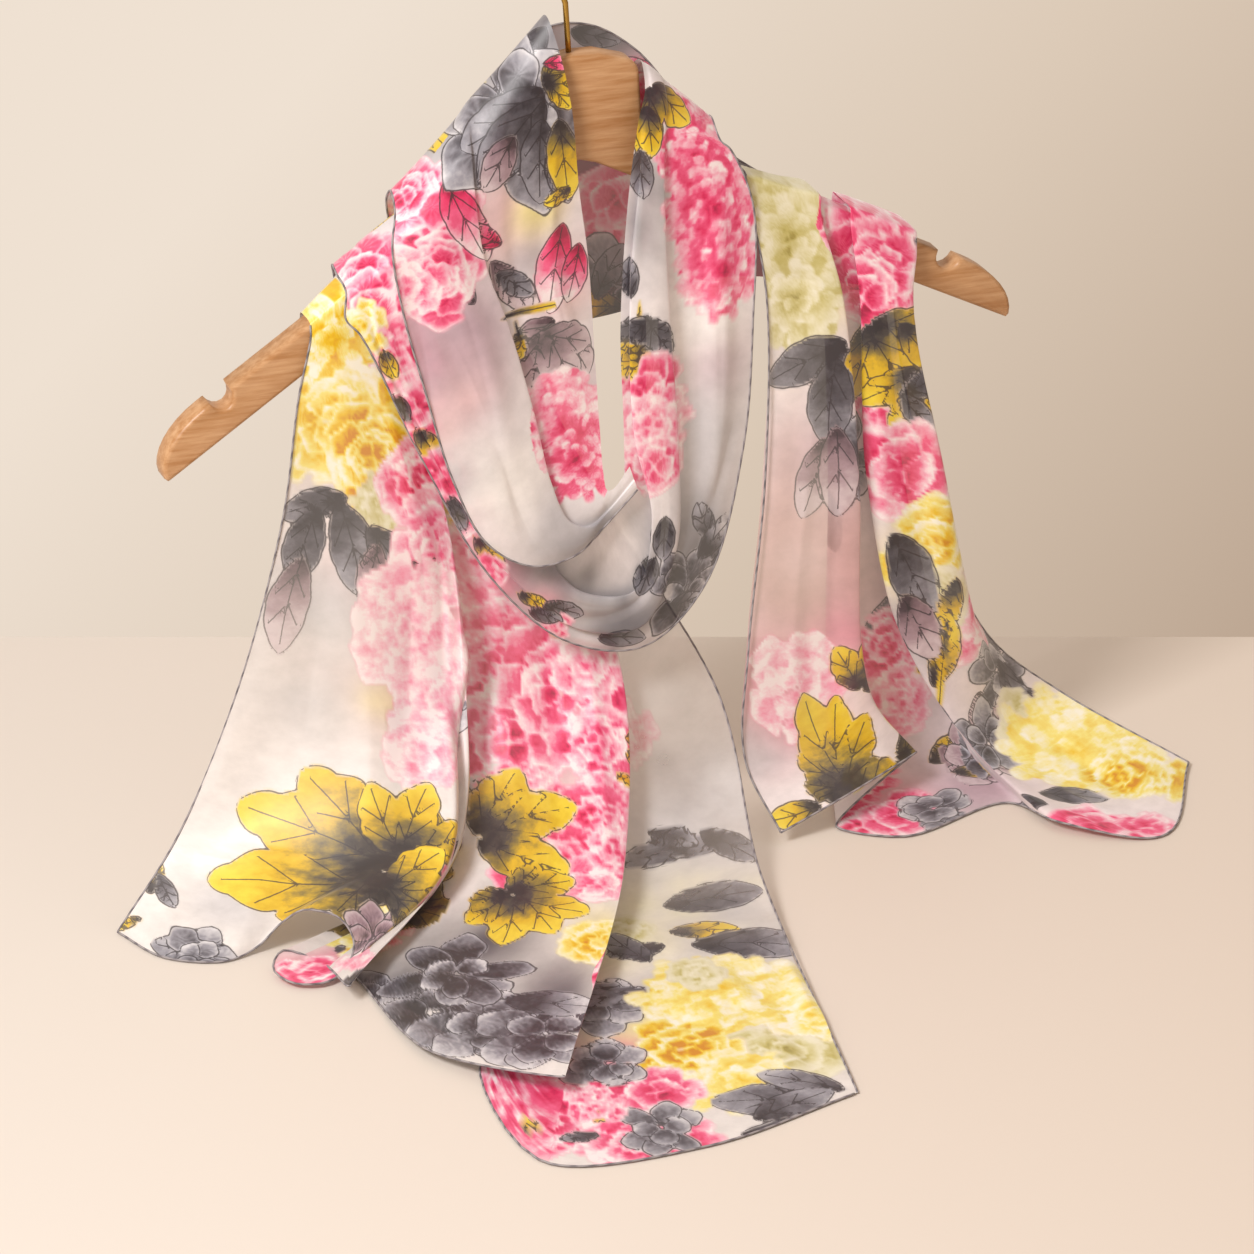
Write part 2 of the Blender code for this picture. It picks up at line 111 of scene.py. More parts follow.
# Rows of the stretch behind the neck, from its left end to its right end.
neckWrapRows = [
    [  # top edge
        (-112, 23, -196), (-84, 23, -158), (-46, 23, -121), (-3, 24, -67), (22, 25, -66), (48, 24, -82),
        (90, 23, -136), (140, 23, -172), (184, 23, -200),
    ],
    [  # high fold
        (-114, 27, -204), (-86, 29, -168), (-46, 31, -134), (-6, 32, -97), (22, 34, -98), (48, 32, -110),
        (90, 30, -153), (140, 28, -182), (184, 26, -206),
    ],
    [  # hollow
        (-116, 23, -212), (-88, 24, -180), (-46, 25, -152), (-6, 26, -130), (22, 26, -130), (48, 26, -138),
        (90, 25, -168), (140, 24, -191), (184, 23, -212),
    ],
    [  # low fold
        (-118, 27, -220), (-90, 30, -196), (-46, 33, -183), (-6, 34, -178), (22, 34, -178), (48, 34, -180),
        (90, 31, -187), (140, 28, -203), (184, 26, -219),
    ],
    [  # low edge
        (-120, 23, -228), (-92, 24, -212), (-46, 24, -218), (-6, 24, -222), (22, 24, -223), (48, 24, -220),
        (90, 24, -210), (140, 24, -217), (184, 23, -227),
    ],
]

# Fold lines of the tails: over the arm (its x, layer and drop behind), chest, hip, knee, foot and toe.
leftTailFolds = [
    # left hem
    ((-134, 0.0, 30), (-142, -12, -230), (-152, -14, -292),
     (-179, -22, -375), (-216, -36, -444), (-255, -55, -484)),
    # first panel
    ((-124, 1.5, 28), (-119, -14, -233), (-118, -18, -296),
     (-137, -32, -380), (-169, -70, -446), (-223, -100, -484)),
    # curl crest
    ((-115, 2.5, 27), (-103, -13, -235), (-89, -16, -301),
     (-99, -34, -385), (-123, -80, -449), (-181, -125, -454)),
    # first fold
    ((-108, 3.5, 26), (-88, -13, -237), (-66, -13, -305),
     (-63, -32, -391), (-85, -81, -452), (-171, -170, -474)),
    # behind first fold
    ((-102, 0.5, 26), (-94, -3, -240), (-88, -2, -307),
     (-98, -4, -396), (-108, -52, -474), (-160, -142, -484)),
    # second panel
    ((-95, 2.0, 25), (-62, -8, -243), (-33, -8, -312),
     (-29, -16, -403), (-64, -93, -462), (-152, -237, -480)),
    # second fold
    ((-87, 3.5, 25), (-37, -13, -245), (2, -13, -315),
     (25, -24, -408), (-9, -116, -464), (-105, -299, -472)),
    # behind second fold
    ((-81, 0.5, 25), (-44, -2, -248), (-17, -1, -317),
     (-11, -3, -412), (-42, -95, -481), (-130, -250, -484)),
    # ruffle corner
    ((-74, 1.5, 25), (-31, -3, -249), (-3, -3, -318),
     (25, -8, -415), (-20, -112, -482), (-134, -356, -484)),
    # third panel
    ((-63, 1.5, 24), (-20, -6, -249), (11, -6, -319),
     (51, -12, -418), (25, -119, -480), (-59, -366, -484)),
    # right hem
    ((-52, 0.5, 24), (-8, -5, -252), (25, -6, -321),
     (79, -14, -421), (62, -123, -474), (28, -340, -484)),
]
rightTailFolds = [
    # left hem
    ((95, 0.5, 26), (103, -18, -206), (100, -26, -302),
     (87, -38, -390), (81, -50, -445), (92, -73, -478)),
    # first panel
    ((117, 2.0, 26), (124, -18, -211), (125, -26, -305),
     (119, -36, -396), (121, -46, -451), (133, -65, -466)),
    # first fold
    ((134, 4.0, 26), (144, -20, -213), (150, -30, -307),
     (149, -38, -394), (154, -42, -426), (179, -42, -460)),
    # behind first fold
    ((129, 0.0, 26), (136, -10, -215), (139, -14, -312),
     (138, -16, -401), (145, -8, -482), (126, -64, -484)),
    # middle panel
    ((142, 0.5, 26), (152, -10, -217), (162, -12, -316),
     (176, -12, -409), (183, -18, -476), (155, -87, -484)),
    # behind second fold
    ((158, 0.5, 26), (170, -10, -220), (182, -12, -319),
     (204, -12, -413), (218, -18, -476), (220, -68, -484)),
    # second fold
    ((150, 4.0, 26), (154, -17, -215), (157, -22, -311),
     (176, -30, -401), (213, -38, -465), (233, -107, -480)),
    # right side
    ((186, 4.5, 26), (182, -20, -218), (199, -26, -316),
     (217, -26, -411), (226, -32, -466), (278, -132, -484)),
    # right hem
    ((178, 1.0, 26), (177, -6, -222), (197, -5, -324),
     (236, 4, -420), (277, -2, -458), (327, -57, -483)),
]

# How the left tail's foot curls up beside its first fold: share of the way there, foot and toe.
leftCurl = [
    (0.15, (-193, -48, -448), (-241, -90, -484)),
    (0.31, (-167, -64, -449), (-216, -104, -484)),
    (0.46, (-146, -76, -448), (-196, -100, -481)),
    (0.58, (-129, -82, -447), (-183, -101, -469)),
    (0.68, (-116, -86, -446), (-172, -110, -460)),
    (0.76, (-105, -90, -446), (-159, -118, -463)),
    (0.83, (-98, -94, -447), (-154, -125, -473)),
    (0.88, (-95, -98, -449), (-162, -138, -480)),
    (0.92, (-89, -79, -464), (-176, -147, -482)),
    (0.95, (-92, -75, -471), (-190, -143, -482)),
    (0.97, (-95, -70, -477), (-196, -126, -481)),
    (0.98, (-91, -65, -478), (-187, -114, -478)),
    (0.99, (-85, -66, -474), (-172, -123, -482)),
]

clothRest = {"restZ": -0.4846, "hemDrop": 0.0004, "armGap": 1.8, "flatRise": 2.0, "fullRise": 7.5}
hangerForm = {
    "roll": radians(3.5), "armSlope": radians(30.2), "armHeight": 20.0, "armThickness": 15.0,
    "apexDrop": 123.5, "edgeWidth": 1.8, "edgeDrop": 0.6, "faceDrop": 4.0,
}


def smoothCurve(points, counts, level=False):
    # a smooth line through the points; level keeps heights from dipping between them
    points = np.asarray(points, dtype=float)
    chord = np.linalg.norm(np.diff(points, axis=0), axis=1)
    knots = np.concatenate([[0.0], np.cumsum(np.sqrt(np.maximum(chord, 1e-6)))])
    slope = np.diff(points, axis=0) / np.diff(knots)[:, None]
    before = np.diff(knots)[:-1, None]
    after = np.diff(knots)[1:, None]
    middle = (slope[:-1] * after + slope[1:] * before) / (before + after)
    if level:
        both = slope[:-1, 2] * slope[1:, 2]
        most = 3.0 * np.minimum(np.abs(slope[:-1, 2]), np.abs(slope[1:, 2]))
        middle[:, 2] = np.where(both > 0.0, np.clip(middle[:, 2], -most, most), 0.0)
    tangent = np.concatenate([slope[:1], middle, slope[-1:]])
    pieces = []
    for i, count in enumerate(counts):
        t = (np.arange(count) / count)[:, None]
        span = knots[i + 1] - knots[i]
        pieces.append(
            (2 * t**3 - 3 * t**2 + 1) * points[i]
            + (t**3 - 2 * t**2 + t) * span * tangent[i]
            + (3 * t**2 - 2 * t**3) * points[i + 1]
            + (t**3 - t**2) * span * tangent[i + 1]
        )
    pieces.append(points[-1:])
    return np.concatenate(pieces)


def clothGrid(lines, along, across, level=False):
    rows = np.stack([smoothCurve(line, along, level) for line in lines], axis=1)
    return np.array([smoothCurve(row, across, level) for row in rows]) * mm


def rolled(x, z):
    a = hangerForm["roll"]
    return x * cos(a) - z * sin(a), x * sin(a) + z * cos(a)


def armTop(x):
    apexX, apexZ = rolled(0.0, -hangerForm["apexDrop"])
    tilt = hangerForm["roll"] if x < apexX else -hangerForm["roll"]
    slope = hangerForm["armSlope"] + tilt
    return apexZ - abs(x - apexX) * tan(slope) + hangerForm["armHeight"] / cos(slope)


def overArm(x, layer, drop):
    # a fold's way over the arm, from its end behind to the front
    top = armTop(x)
    out = clothRest["armGap"] + layer
    face = hangerForm["armThickness"] / 2 + out
    crown = top + out * 1.2
    bend, shoulder = face - hangerForm["edgeWidth"], crown - hangerForm["edgeDrop"]
    below = top - hangerForm["faceDrop"]
    return [
        (x, face, top - drop), (x, face, below), (x, bend, shoulder),
        (x, 0.0, crown), (x, -bend, shoulder), (x, -face, below),
    ]


def rolledFolds(first, panel, crest, last):
    # the lines of the curl: upper points are shared out between the folds beside it
    known = [0.0, 0.31, 0.62, 1.0]
    folds = [first]
    for share, foot, toe in leftCurl:
        upper = []
        for level in range(4):
            values = np.array([fold[level] for fold in (first, panel, crest, last)])
            upper.append(tuple(np.interp(share, known, values[:, k]) for k in range(3)))
        folds.append((*upper, foot, toe))
    return folds + [last]


def tailGrid(folds, along, across):
    lines = [overArm(*arm) + down for arm, *down in folds]
    grid = clothGrid(lines, along, across, level=True)
    grid[:, :, 2] = np.maximum(grid[:, :, 2], clothRest["restZ"])
    return grid


def foldGrip(section, most):
    share = (section.rise - clothRest["flatRise"]) / (clothRest["fullRise"] - clothRest["flatRise"])
    return -0.05 + (most + 0.05) * min(1.0, max(0.0, share))


def bandProfile(s):
    grip = foldGrip(s, 0.26)
    return [
        (0.0, 0.45), (0.5 * s.fold, 1.0), (s.fold, 0.75), (s.fold - grip, 0.1),
        (0.5 + 0.5 * s.fold, 0.3), (1.0, 0.0),
    ]


def loopProfile(s):
    grip = foldGrip(s, 0.15)
    return [
        (0.0, 0.0), (s.lip + grip, 0.1), (s.lip, 0.72), (0.5 * (s.lip + s.fold), 1.0),
        (s.fold, 0.72), (s.fold - 0.5 * grip, 0.12), (s.fold + 0.55 * (1.0 - s.fold), 0.35), (1.0, 0.0),
    ]


def loopGrid(sections, profile, fromOuter, along, across):
    rows = []
    for s in (Section(*values) for values in sections):
        inner = np.array(s.inner, dtype=float)
        outer = np.array(s.outer, dtype=float)
        start, end = (outer, inner) if fromOuter else (inner, outer)
        turn = radians(s.facing)
        outward = np.array([0.0, -cos(turn), sin(turn)]) * s.rise
        rows.append([start + (end - start) * a + outward * h for a, h in profile(s)])
    counts = [along] * (len(rows) - 1), [across] * (len(rows[0]) - 1)
    return clothGrid(np.transpose(rows, (1, 0, 2)), *counts)


def normals(grid):
    along = np.gradient(grid, axis=0)
    across = np.gradient(grid, axis=1)
    out = np.cross(across, along)
    return out / (np.linalg.norm(out, axis=2)[:, :, None] + 1e-12)


flattening = {"stride": 6, "rounds": 500, "pull": 0.12}


def relax(flat, rest):
    # pulls a flat net of points to the lengths that it has in the cloth
    for _ in range(flattening["rounds"]):
        move = np.zeros_like(flat)
        for (a, b), length in rest:
            gap = flat[b] - flat[a]
            now = np.linalg.norm(gap, axis=2)[:, :, None] + 1e-9
            step = gap * (now - length[:, :, None]) / now
            move[a] += step
            move[b] -= step
        flat = flat + move * flattening["pull"]
    return flat


def flatten(grid, middle):
    # the cloth laid out flat, in metres: u across and v along, so that the print keeps its size
    height, width = grid.shape[:2]
    rows, columns = (
        np.unique(np.append(np.arange(0, size, flattening["stride"]), size - 1)) for size in (height, width)
    )
    net = grid[rows][:, columns]
    centre = int(np.argmin(np.abs(columns - middle * width)))
    across = np.linalg.norm(np.diff(net, axis=1), axis=2)
    u = np.concatenate([np.zeros((len(rows), 1)), np.cumsum(across, axis=1)], axis=1)
    u -= u[:, centre:centre + 1]
    v = np.concatenate([[0.0], np.cumsum(np.linalg.norm(np.diff(net[:, centre], axis=0), axis=1))])
    flat = np.stack([u, np.repeat(v[:, None], len(columns), axis=1)], axis=2)
    every, first, last = slice(None), slice(None, -1), slice(1, None)
    pairs = [
        ((first, every), (last, every)), ((every, first), (every, last)),
        ((first, first), (last, last)), ((first, last), (last, first)),
    ]
    rest = [(p, np.linalg.norm(net[p[1]] - net[p[0]], axis=2)) for p in pairs]
    flat = relax(flat, rest)
    full = []
    for k in (0, 1):
        wide = np.array([np.interp(np.arange(width), columns, row) for row in flat[:, :, k]])
        full.append(np.array([np.interp(np.arange(height), rows, column) for column in wide.T]).T)
    return np.stack(full, axis=2)


def seenVertex(cloth, x, y):
    # the point of the cloth at a place in the picture, on the layer nearest the eye
    px, py, depth = cloth["seen"]
    off = np.hypot(px - x, py - y)
    near = off < max(4.0, off.min() + 1.5)
    return int(np.argmin(np.where(near, depth, np.inf)))


def addCreases(cloth, creases):
    # soft ridges and troughs between two places in the picture, with their width and height in mm
    out = normals(cloth["grid"])
    flat = cloth["flat"].reshape(-1, 2)
    for x0, y0, x1, y1, width, height in creases:
        start = flat[seenVertex(cloth, x0, y0)]
        end = flat[seenVertex(cloth, x1, y1)]
        run = end - start
        share = np.clip(((cloth["flat"] - start) @ run) / (run @ run), 0.0, 1.0)
        bow = np.sin(share * 5.0 + x0) * 0.35 * width * mm
        away = np.linalg.norm(cloth["flat"] - start - share[:, :, None] * run, axis=2) + bow
        swell = np.sin(pi * np.clip(share, 0.02, 0.98)) ** 0.6 * height * mm
        cloth["grid"] = cloth["grid"] + out * (swell * np.exp(-((away / (width * mm)) ** 2)))[:, :, None]
    cloth["grid"][:, :, 2] = np.maximum(cloth["grid"][:, :, 2], clothRest["restZ"])


# The inks that the cloth carries, and weaker or stronger tints of them.
printInks = ("pink", "yellow", "grey", "ochre", "lime", "mauve")
tints = {
    "blush": ("pink", 0.62), "haze": ("pink", 0.32), "cream": ("yellow", 0.6),
    "gold": ("yellow", 1.6), "slate": ("grey", 1.5),
}
# Flowers are rings of petals: how many, where they start, how far they reach, their width and depth of dye.
Ring = namedtuple("Ring", "petals start reach width deep")
Flower = namedtuple("Flower", "rings ruffle rim outline tip ground", defaults=[0.0, 0.0, 0.0])
flowers = {
    "peony": Flower([
        (6, 0.36, 0.66, 0.88, 0.80), (6, 0.22, 0.56, 0.72, 0.90),
        (5, 0.10, 0.44, 0.60, 1.0), (4, 0.02, 0.32, 0.42, 1.1),
    ], 0.10, 2.0),
    "mum": Flower([
        (15, 0.58, 0.42, 0.28, 0.50), (13, 0.44, 0.38, 0.28, 0.54), (10, 0.30, 0.35, 0.27, 0.60),
        (8, 0.17, 0.31, 0.25, 0.70), (5, 0.04, 0.26, 0.22, 0.85),
    ], 0.02, 0.0, ground=0.66),
    "poppy": Flower([(5, 0.02, 0.96, 0.95, 1.05), (4, 0.0, 0.62, 0.70, 0.95)], 0.07, 1.8, outline=0.4),
    "lily": Flower([(6, 0.10, 0.92, 0.66, 0.85), (4, 0.05, 0.60, 0.52, 1.0)], 0.05, 1.4, 1.0, tip=0.35),
}
# Leaves are lobes: turn in degrees, reach and width.
Leaf = namedtuple("Leaf", "lobes serrate veins outline", defaults=[2, 1.0])
leaves = {
    "leaf": Leaf([(0, 1.0, 0.42)], 0.06),
    "vineLeaf": Leaf([
        (0, 1.0, 0.44), (38, 0.92, 0.42), (-38, 0.92, 0.42), (78, 0.74, 0.38), (-78, 0.74, 0.38),
        (118, 0.52, 0.30), (-118, 0.52, 0.30),
    ], 0.20),
    "plume": Leaf([
        (0, 1.0, 0.30), (-20, 0.88, 0.28), (-42, 0.70, 0.28), (-70, 0.52, 0.28), (24, 0.58, 0.24),
        (55, 0.40, 0.24), (-115, 0.46, 0.28), (150, 0.34, 0.26),
    ], 0.26),
    "fan": Leaf([(0, 1.0, 0.44), (42, 0.86, 0.42), (-42, 0.90, 0.40)], 0.14),
    "stem": Leaf([(0, 1.0, 0.09)], 0.0, 0, 0.0),
}
lineReach = 3.0   # mm from an outline or vein, beyond which nothing is kept of it
softEdge = 0.7    # mm over which the dye of a petal fades out
# Each row of a print names a dye, or a dye and a form, and then the places where it goes, in the order laid.
# Some wash rows lay painted shade and painted highlights instead of dye.
Motif = namedtuple("Motif", "kind x y size turn", defaults=[30])
Wash = namedtuple("Wash", "colour x y size strength", defaults=[0.9])


def laid(kind, rows):
    return [kind(name, *place) for name, *places in rows for place in places]


def chance(*seeds):
    # the same value from 0 to 1 for the same seeds
    value = sin(sum(s * k for s, k in zip(seeds, (12.9898, 78.233, 37.719, 4.581)))) * 43758.5453
    return value - np.floor(value)


def smoothStep(low, high, value):
    t = np.clip((value - low) / (high - low), 0.0, 1.0)
    return t * t * (3.0 - 2.0 * t)


def newPrint(cloth, ground):
    count = cloth["flat"].shape[0] * cloth["flat"].shape[1]
    cloth["print"] = {name: np.zeros(count) for name in printInks + ("sheer",)}
    cloth["print"]["tone"] = np.full(count, 0.3)
    cloth["print"]["line"] = np.full(count, lineReach)
    cloth["print"]["wash"] = np.tile((*linearColour(ground), 1.0), (count, 1))


def stamp(layer, near, ink, inside, tone, outline):
    # lays one petal or lobe on what is there: inside is the distance in mm from its edge, inwards
    ink, strength = tints.get(ink, (ink, 1.0))
    tone = np.clip(np.asarray(tone) * strength, 0.0, 1.0)
    cover = smoothStep(-softEdge, softEdge, inside)
    for name in printInks:
        layer[name][near] *= 1.0 - cover
    layer[ink][near] += cover
    layer["tone"][near] += (tone - layer["tone"][near]) * cover
    edge = (np.abs(inside) + (1.0 - outline) * lineReach) * np.where(inside > 0.0, 1.0, -1.0)
    old = layer["line"][near]
    nearer = (inside > 0.0) | (np.abs(edge) < np.abs(old))
    layer["line"][near] = np.clip(np.where(nearer, edge, old), -lineReach, lineReach)


def drawFlower(layer, near, x, y, form, ink, size, seed):
    if form.ground:
        ragged = 1.0 + 0.10 * np.sin(np.arctan2(y, x) * 7.0 + seed)
        stamp(layer, near, ink, 0.86 * size * ragged - np.hypot(x, y), form.ground, 0.0)
    for k, ring in enumerate(Ring(*values) for values in form.rings):
        for i in range(ring.petals):
            jitter = chance(seed, k, i)
            more = chance(seed + 5, i, k)
            angle = 2 * pi * (i + 0.5 * (k % 2) + 0.8 * (jitter - 0.5)) / ring.petals
            length = size * ring.reach * (0.78 + 0.44 * more)
            width = size * ring.width * (0.78 + 0.44 * jitter)
            a = x * cos(angle) + y * sin(angle) - size * ring.start * (0.85 + 0.3 * more)
            b = y * cos(angle) - x * sin(angle)
            s = a / length
            half = 0.5 * width * (0.72 + 0.5 * np.clip(s, 0.0, 1.0))
            p = (a - 0.5 * length) / (0.5 * length)
            q = np.hypot(p, b / half)
            turn = np.arctan2(b / half, p)
            q = q * (1.0 + form.ruffle * np.sin(turn * 5.0 + jitter * 9.0) * (p > -0.3))
            if form.tip:
                q = q + form.tip * np.clip(p, 0.0, 1.0) ** 2 * np.abs(b / half)
            inside = (1.0 - q) * 0.5 * min(width, length)
            streak = 0.10 * np.sin(turn * 11.0 + more * 6.0) * np.clip(1.0 - np.abs(p), 0.0, 1.0)
            tone = ring.deep * (1.05 - 0.95 * np.clip(s, 0.0, 1.1)) + 0.40 * (more - 0.45) + streak
            if form.rim:
                tone = tone * (0.25 + 0.75 * smoothStep(0.0, form.rim * 1.6, inside))
            stamp(layer, near, ink, inside, np.clip(tone, 0.0, 1.0), form.outline)


def drawLeaf(layer, near, x, y, form, ink, size, seed):
    inside = np.full(x.shape, -50.0)
    veins = np.full(x.shape, lineReach)
    for i, (degrees, reach, width) in enumerate(form.lobes):
        jitter = chance(seed, i, 3)
        angle = radians(degrees + 14 * (jitter - 0.5))
        length = size * reach * (0.9 + 0.2 * chance(seed, 7, i))
        a = x * cos(angle) + y * sin(angle)
        b = y * cos(angle) - x * sin(angle) + 0.06 * length * np.sin(2.2 * a / length + jitter * 6)
        s = a / length
        teeth = np.abs(np.sin(s * 11.0 + jitter * 4.0)) * form.serrate
        half = size * width * 0.60 * np.sin(pi * np.clip(s, 0.0, 1.0) ** 1.05) ** 0.6 * (0.92 + teeth)
        beyond = -np.hypot(b, np.minimum(np.abs(a), np.abs(a - length)))
        lobe = np.where((s > 0.0) & (s < 1.0), (half - np.abs(b)) * 0.85, beyond)
        here = lobe > inside
        inside = np.where(here, lobe, inside)
        middle = np.where((s > 0.04) & (s < 0.93), b, lineReach)
        for n in range(form.veins):
            root = 0.18 + 0.62 * n / form.veins
            slant = ((s - root) * length - np.abs(b) * 1.5) * 0.55
            side = np.where(lobe > 0.1 * size * width, slant, lineReach)
            middle = np.where(np.abs(side) < np.abs(middle), side, middle)
        veins = np.where(here, middle, veins)
    reachOut = np.hypot(x, y) / size
    tone = np.clip(1.15 - 1.25 * reachOut, 0.0, 1.0) ** 1.3
    if ink == "grey":
        tone = 0.30 + 0.75 * np.clip(1.0 - reachOut, 0.0, 1.0) + 0.2 * (chance(seed, 2, 2) - 0.5)
    stamp(layer, near, ink, inside, np.clip(tone, 0.0, 1.0), form.outline)
    line = layer["line"][near]
    layer["line"][near] = np.where((inside > 0.0) & (np.abs(veins) + 0.1 < np.abs(line)), veins, line)


def decal(cloth, k, size):
    # the cloth's points round its point k, and their places in mm on a plane that lies along it
    place = cloth["grid"].reshape(-1, 3)
    flat = cloth["flat"].reshape(-1, 2)
    out = cloth["out"]
    away = np.hypot(flat[:, 0] - flat[k, 0], flat[:, 1] - flat[k, 1]) / (size * mm)
    right, _, back = viewAxes()
    side = 1.0 if out[k] @ back > 0.0 else -1.0
    facing = side * out[(away < 0.5) & (out @ out[k] > 0.3)].mean(axis=0)
    facing = facing / np.linalg.norm(facing) + 0.35 * back
    facing /= np.linalg.norm(facing)
    across = right - facing * (right @ facing)
    across /= np.linalg.norm(across)
    near = np.flatnonzero((away < 1.8) & (side * (out @ facing) > 0.05))
    offset = (place[near] - place[k]) / mm
    return near, offset @ across, offset @ np.cross(facing, across)


def drawMotif(cloth, motif, k, seed):
    ink, form = motif.kind.split()
    near, x, y = decal(cloth, k, motif.size)
    inside = np.hypot(x, y) < motif.size * 1.4
    near, x, y = near[inside], x[inside], y[inside]
    turn = radians(motif.turn)
    x, y = x * cos(turn) + y * sin(turn), y * cos(turn) - x * sin(turn)
    draw, forms = (drawLeaf, leaves) if form in leaves else (drawFlower, flowers)
    draw(cloth["print"], near, x, y, forms[form], ink, motif.size, seed)


# lays one soft patch into the cloth's wash colour: dyes, painted shade and painted highlights are all laid
# so
def layWashAndShade(cloth, wash, seed):
    flat = cloth["flat"].reshape(-1, 2)
    away = np.linalg.norm(flat - flat[seenVertex(cloth, wash.x, wash.y)], axis=1) / mm
    uneven = 1.0 + 0.25 * np.sin(flat[:, 0] * 90 + seed) * np.sin(flat[:, 1] * 70 + 2 * seed)
    cover = wash.strength * np.exp(-((away / (wash.size * uneven)) ** 2))
    if wash.colour == "sheer":
        cloth["print"]["sheer"] = np.maximum(cloth["print"]["sheer"], cover)
    else:
        colour = (*linearColour(washAndShadeColours[wash.colour]), 1.0)
        cloth["print"]["wash"] += (colour - cloth["print"]["wash"]) * cover[:, None]


scatter = {  # motifs for the parts that the front view doesn't show, laid over the cloth in turn
    "spacing": 46 * mm,
    "offCloth": 12 * mm,    # a place farther than this from the cloth gets no motif
    "inView": 15 * mm,      # nor does one as near as this to what the front view shows there
    "kinds": [
        ("pink peony", 27), ("grey leaf", 34), ("yellow mum", 25), ("grey lily", 24),
        ("blush peony", 24), ("ochre fan", 30), ("mauve leaf", 26), ("pink mum", 22),
    ],
}


def scatterMotifs(cloth):
    flat = cloth["flat"].reshape(-1, 2)
    px, py, depth = cloth["seen"]
    low, high = flat.min(axis=0), flat.max(axis=0)
    columns, rows = np.ceil((high - low) / scatter["spacing"]).astype(int)
    for i in range(rows):
        for j in range(columns):
            step = np.array([j + 0.5 * (i % 2) + 0.5 * chance(i, j), i + 0.5 * chance(j, i, 7)])
            off = np.linalg.norm(flat - low - step * scatter["spacing"], axis=1)
            k = int(np.argmin(off))
            hidden = np.linalg.norm(flat[seenVertex(cloth, px[k], py[k])] - flat[k]) > scatter["inView"]
            if off[k] < scatter["offCloth"] and hidden:
                kind, size = scatter["kinds"][(3 * i + 5 * j) % len(scatter["kinds"])]
                drawMotif(cloth, Motif(kind, 0, 0, size, 360 * chance(i, j, 3)), k, 60 + 7 * i + j)


def printCloth(cloth, settings):
    newPrint(cloth, settings["ground"])
    for i, wash in enumerate(laid(Wash, settings["washes"])):
        layWashAndShade(cloth, wash, i + 1)
    scatterMotifs(cloth)
    for i, motif in enumerate(laid(Motif, settings["motifs"])):
        drawMotif(cloth, motif, seenVertex(cloth, motif.x, motif.y), i + 1)


def linearColour(code):
    values = [int(code[i:i + 2], 16) / 255 for i in (1, 3, 5)]
    return [v / 12.92 if v <= 0.04045 else ((v + 0.055) / 1.055) ** 2.4 for v in values]


def addNode(tree, kind, settings=None, links=None):
    # a link comes from a socket, or from a node's first output
    node = tree.nodes.new("ShaderNode" + kind)
    for name, value in (settings or {}).items():
        if name == "stops":
            while len(node.color_ramp.elements) < len(value):
                node.color_ramp.elements.new(0.5)
            for element, (place, code) in zip(node.color_ramp.elements, value):
                element.position = place
                element.color = (*linearColour(code), 1.0)
        elif isinstance(name, str) and hasattr(node, name):
            setattr(node, name, value)
        else:
            node.inputs[name].default_value = value
    link(tree, node, links or {})
    return node


def link(tree, node, sources):
    for socket, source in sources.items():
        first = source.outputs[0] if isinstance(source, bpy.types.Node) else source
        tree.links.new(first, node.inputs[socket])


def remap(tree, value, low, high, newLow, newHigh):
    limits = {"From Min": low, "From Max": high, "To Min": newLow, "To Max": newHigh}
    return addNode(tree, "MapRange", limits, {"Value": value})


def maths(tree, operation, *sources):
    return addNode(tree, "Math", {"operation": operation}, dict(enumerate(sources)))


def ramp(tree, stops, value):
    return addNode(tree, "ValToRGB", {"stops": stops}, {"Fac": value})


def newMaterial(name, roughness, **values):
    material = bpy.data.materials.new(name)
    material.use_nodes = True
    shader = material.node_tree.nodes["Principled BSDF"]
    shader.inputs["Roughness"].default_value = roughness
    for socket, value in values.items():
        shader.inputs[socket.replace("_", " ")].default_value = value
    return material, material.node_tree, shader


# colours of the washes: most are dyes, while slate, smoke, silver and wine also lay painted shade, and white
# and silver lay painted highlights
washAndShadeColours = {
    "mauve": "#c2a7b3", "smoke": "#8f8d93", "slate": "#514e56", "silver": "#c9c6ca", "dusk": "#cf9f9b",
    "blush": "#efc9cb", "rose": "#e58fa3", "lemon": "#f1e29a", "butter": "#f6efc4", "wine": "#8c2448",
    "white": "#faf6f2",
}
chiffonLook = {
    "inkColour": "#2f2a30",
    "solidInk": 0.20,               # mm from the middle of a line
    "inkGone": 0.48,
    "stains": 11.0,                 # mm, the size of the blots where dye pooled
    "waver": 2.5,                   # mm, between the turns of a hand drawn line
    "opaque": 0.90,
    "sheerest": 0.34,
}
inkRamps = {
    "pink": [(0.0, "#fdeef0"), (0.2, "#f9b6ca"), (0.45, "#f2638f"), (0.75, "#e02b62"), (1.0, "#a51443")],
    "yellow": [(0.0, "#fdf9e6"), (0.3, "#f6e680"), (0.62, "#eec41d"), (1.0, "#d88e10")],
    "grey": [(0.0, "#d8d5d9"), (0.35, "#9997a0"), (0.7, "#5d5a62"), (1.0, "#2f2b32")],
    "lime": [(0.0, "#f1ecd2"), (0.4, "#ddd5a2"), (0.75, "#c6ba70"), (1.0, "#a09245")],
    "mauve": [(0.0, "#d9c8cd"), (0.4, "#a98f98"), (0.75, "#7d666f"), (1.0, "#45373f")],
    "ochre": [(0.0, "#f2d63c"), (0.4, "#dcb31f"), (0.62, "#917c38"), (0.82, "#4a4440"), (1.0, "#2d292d")],
}


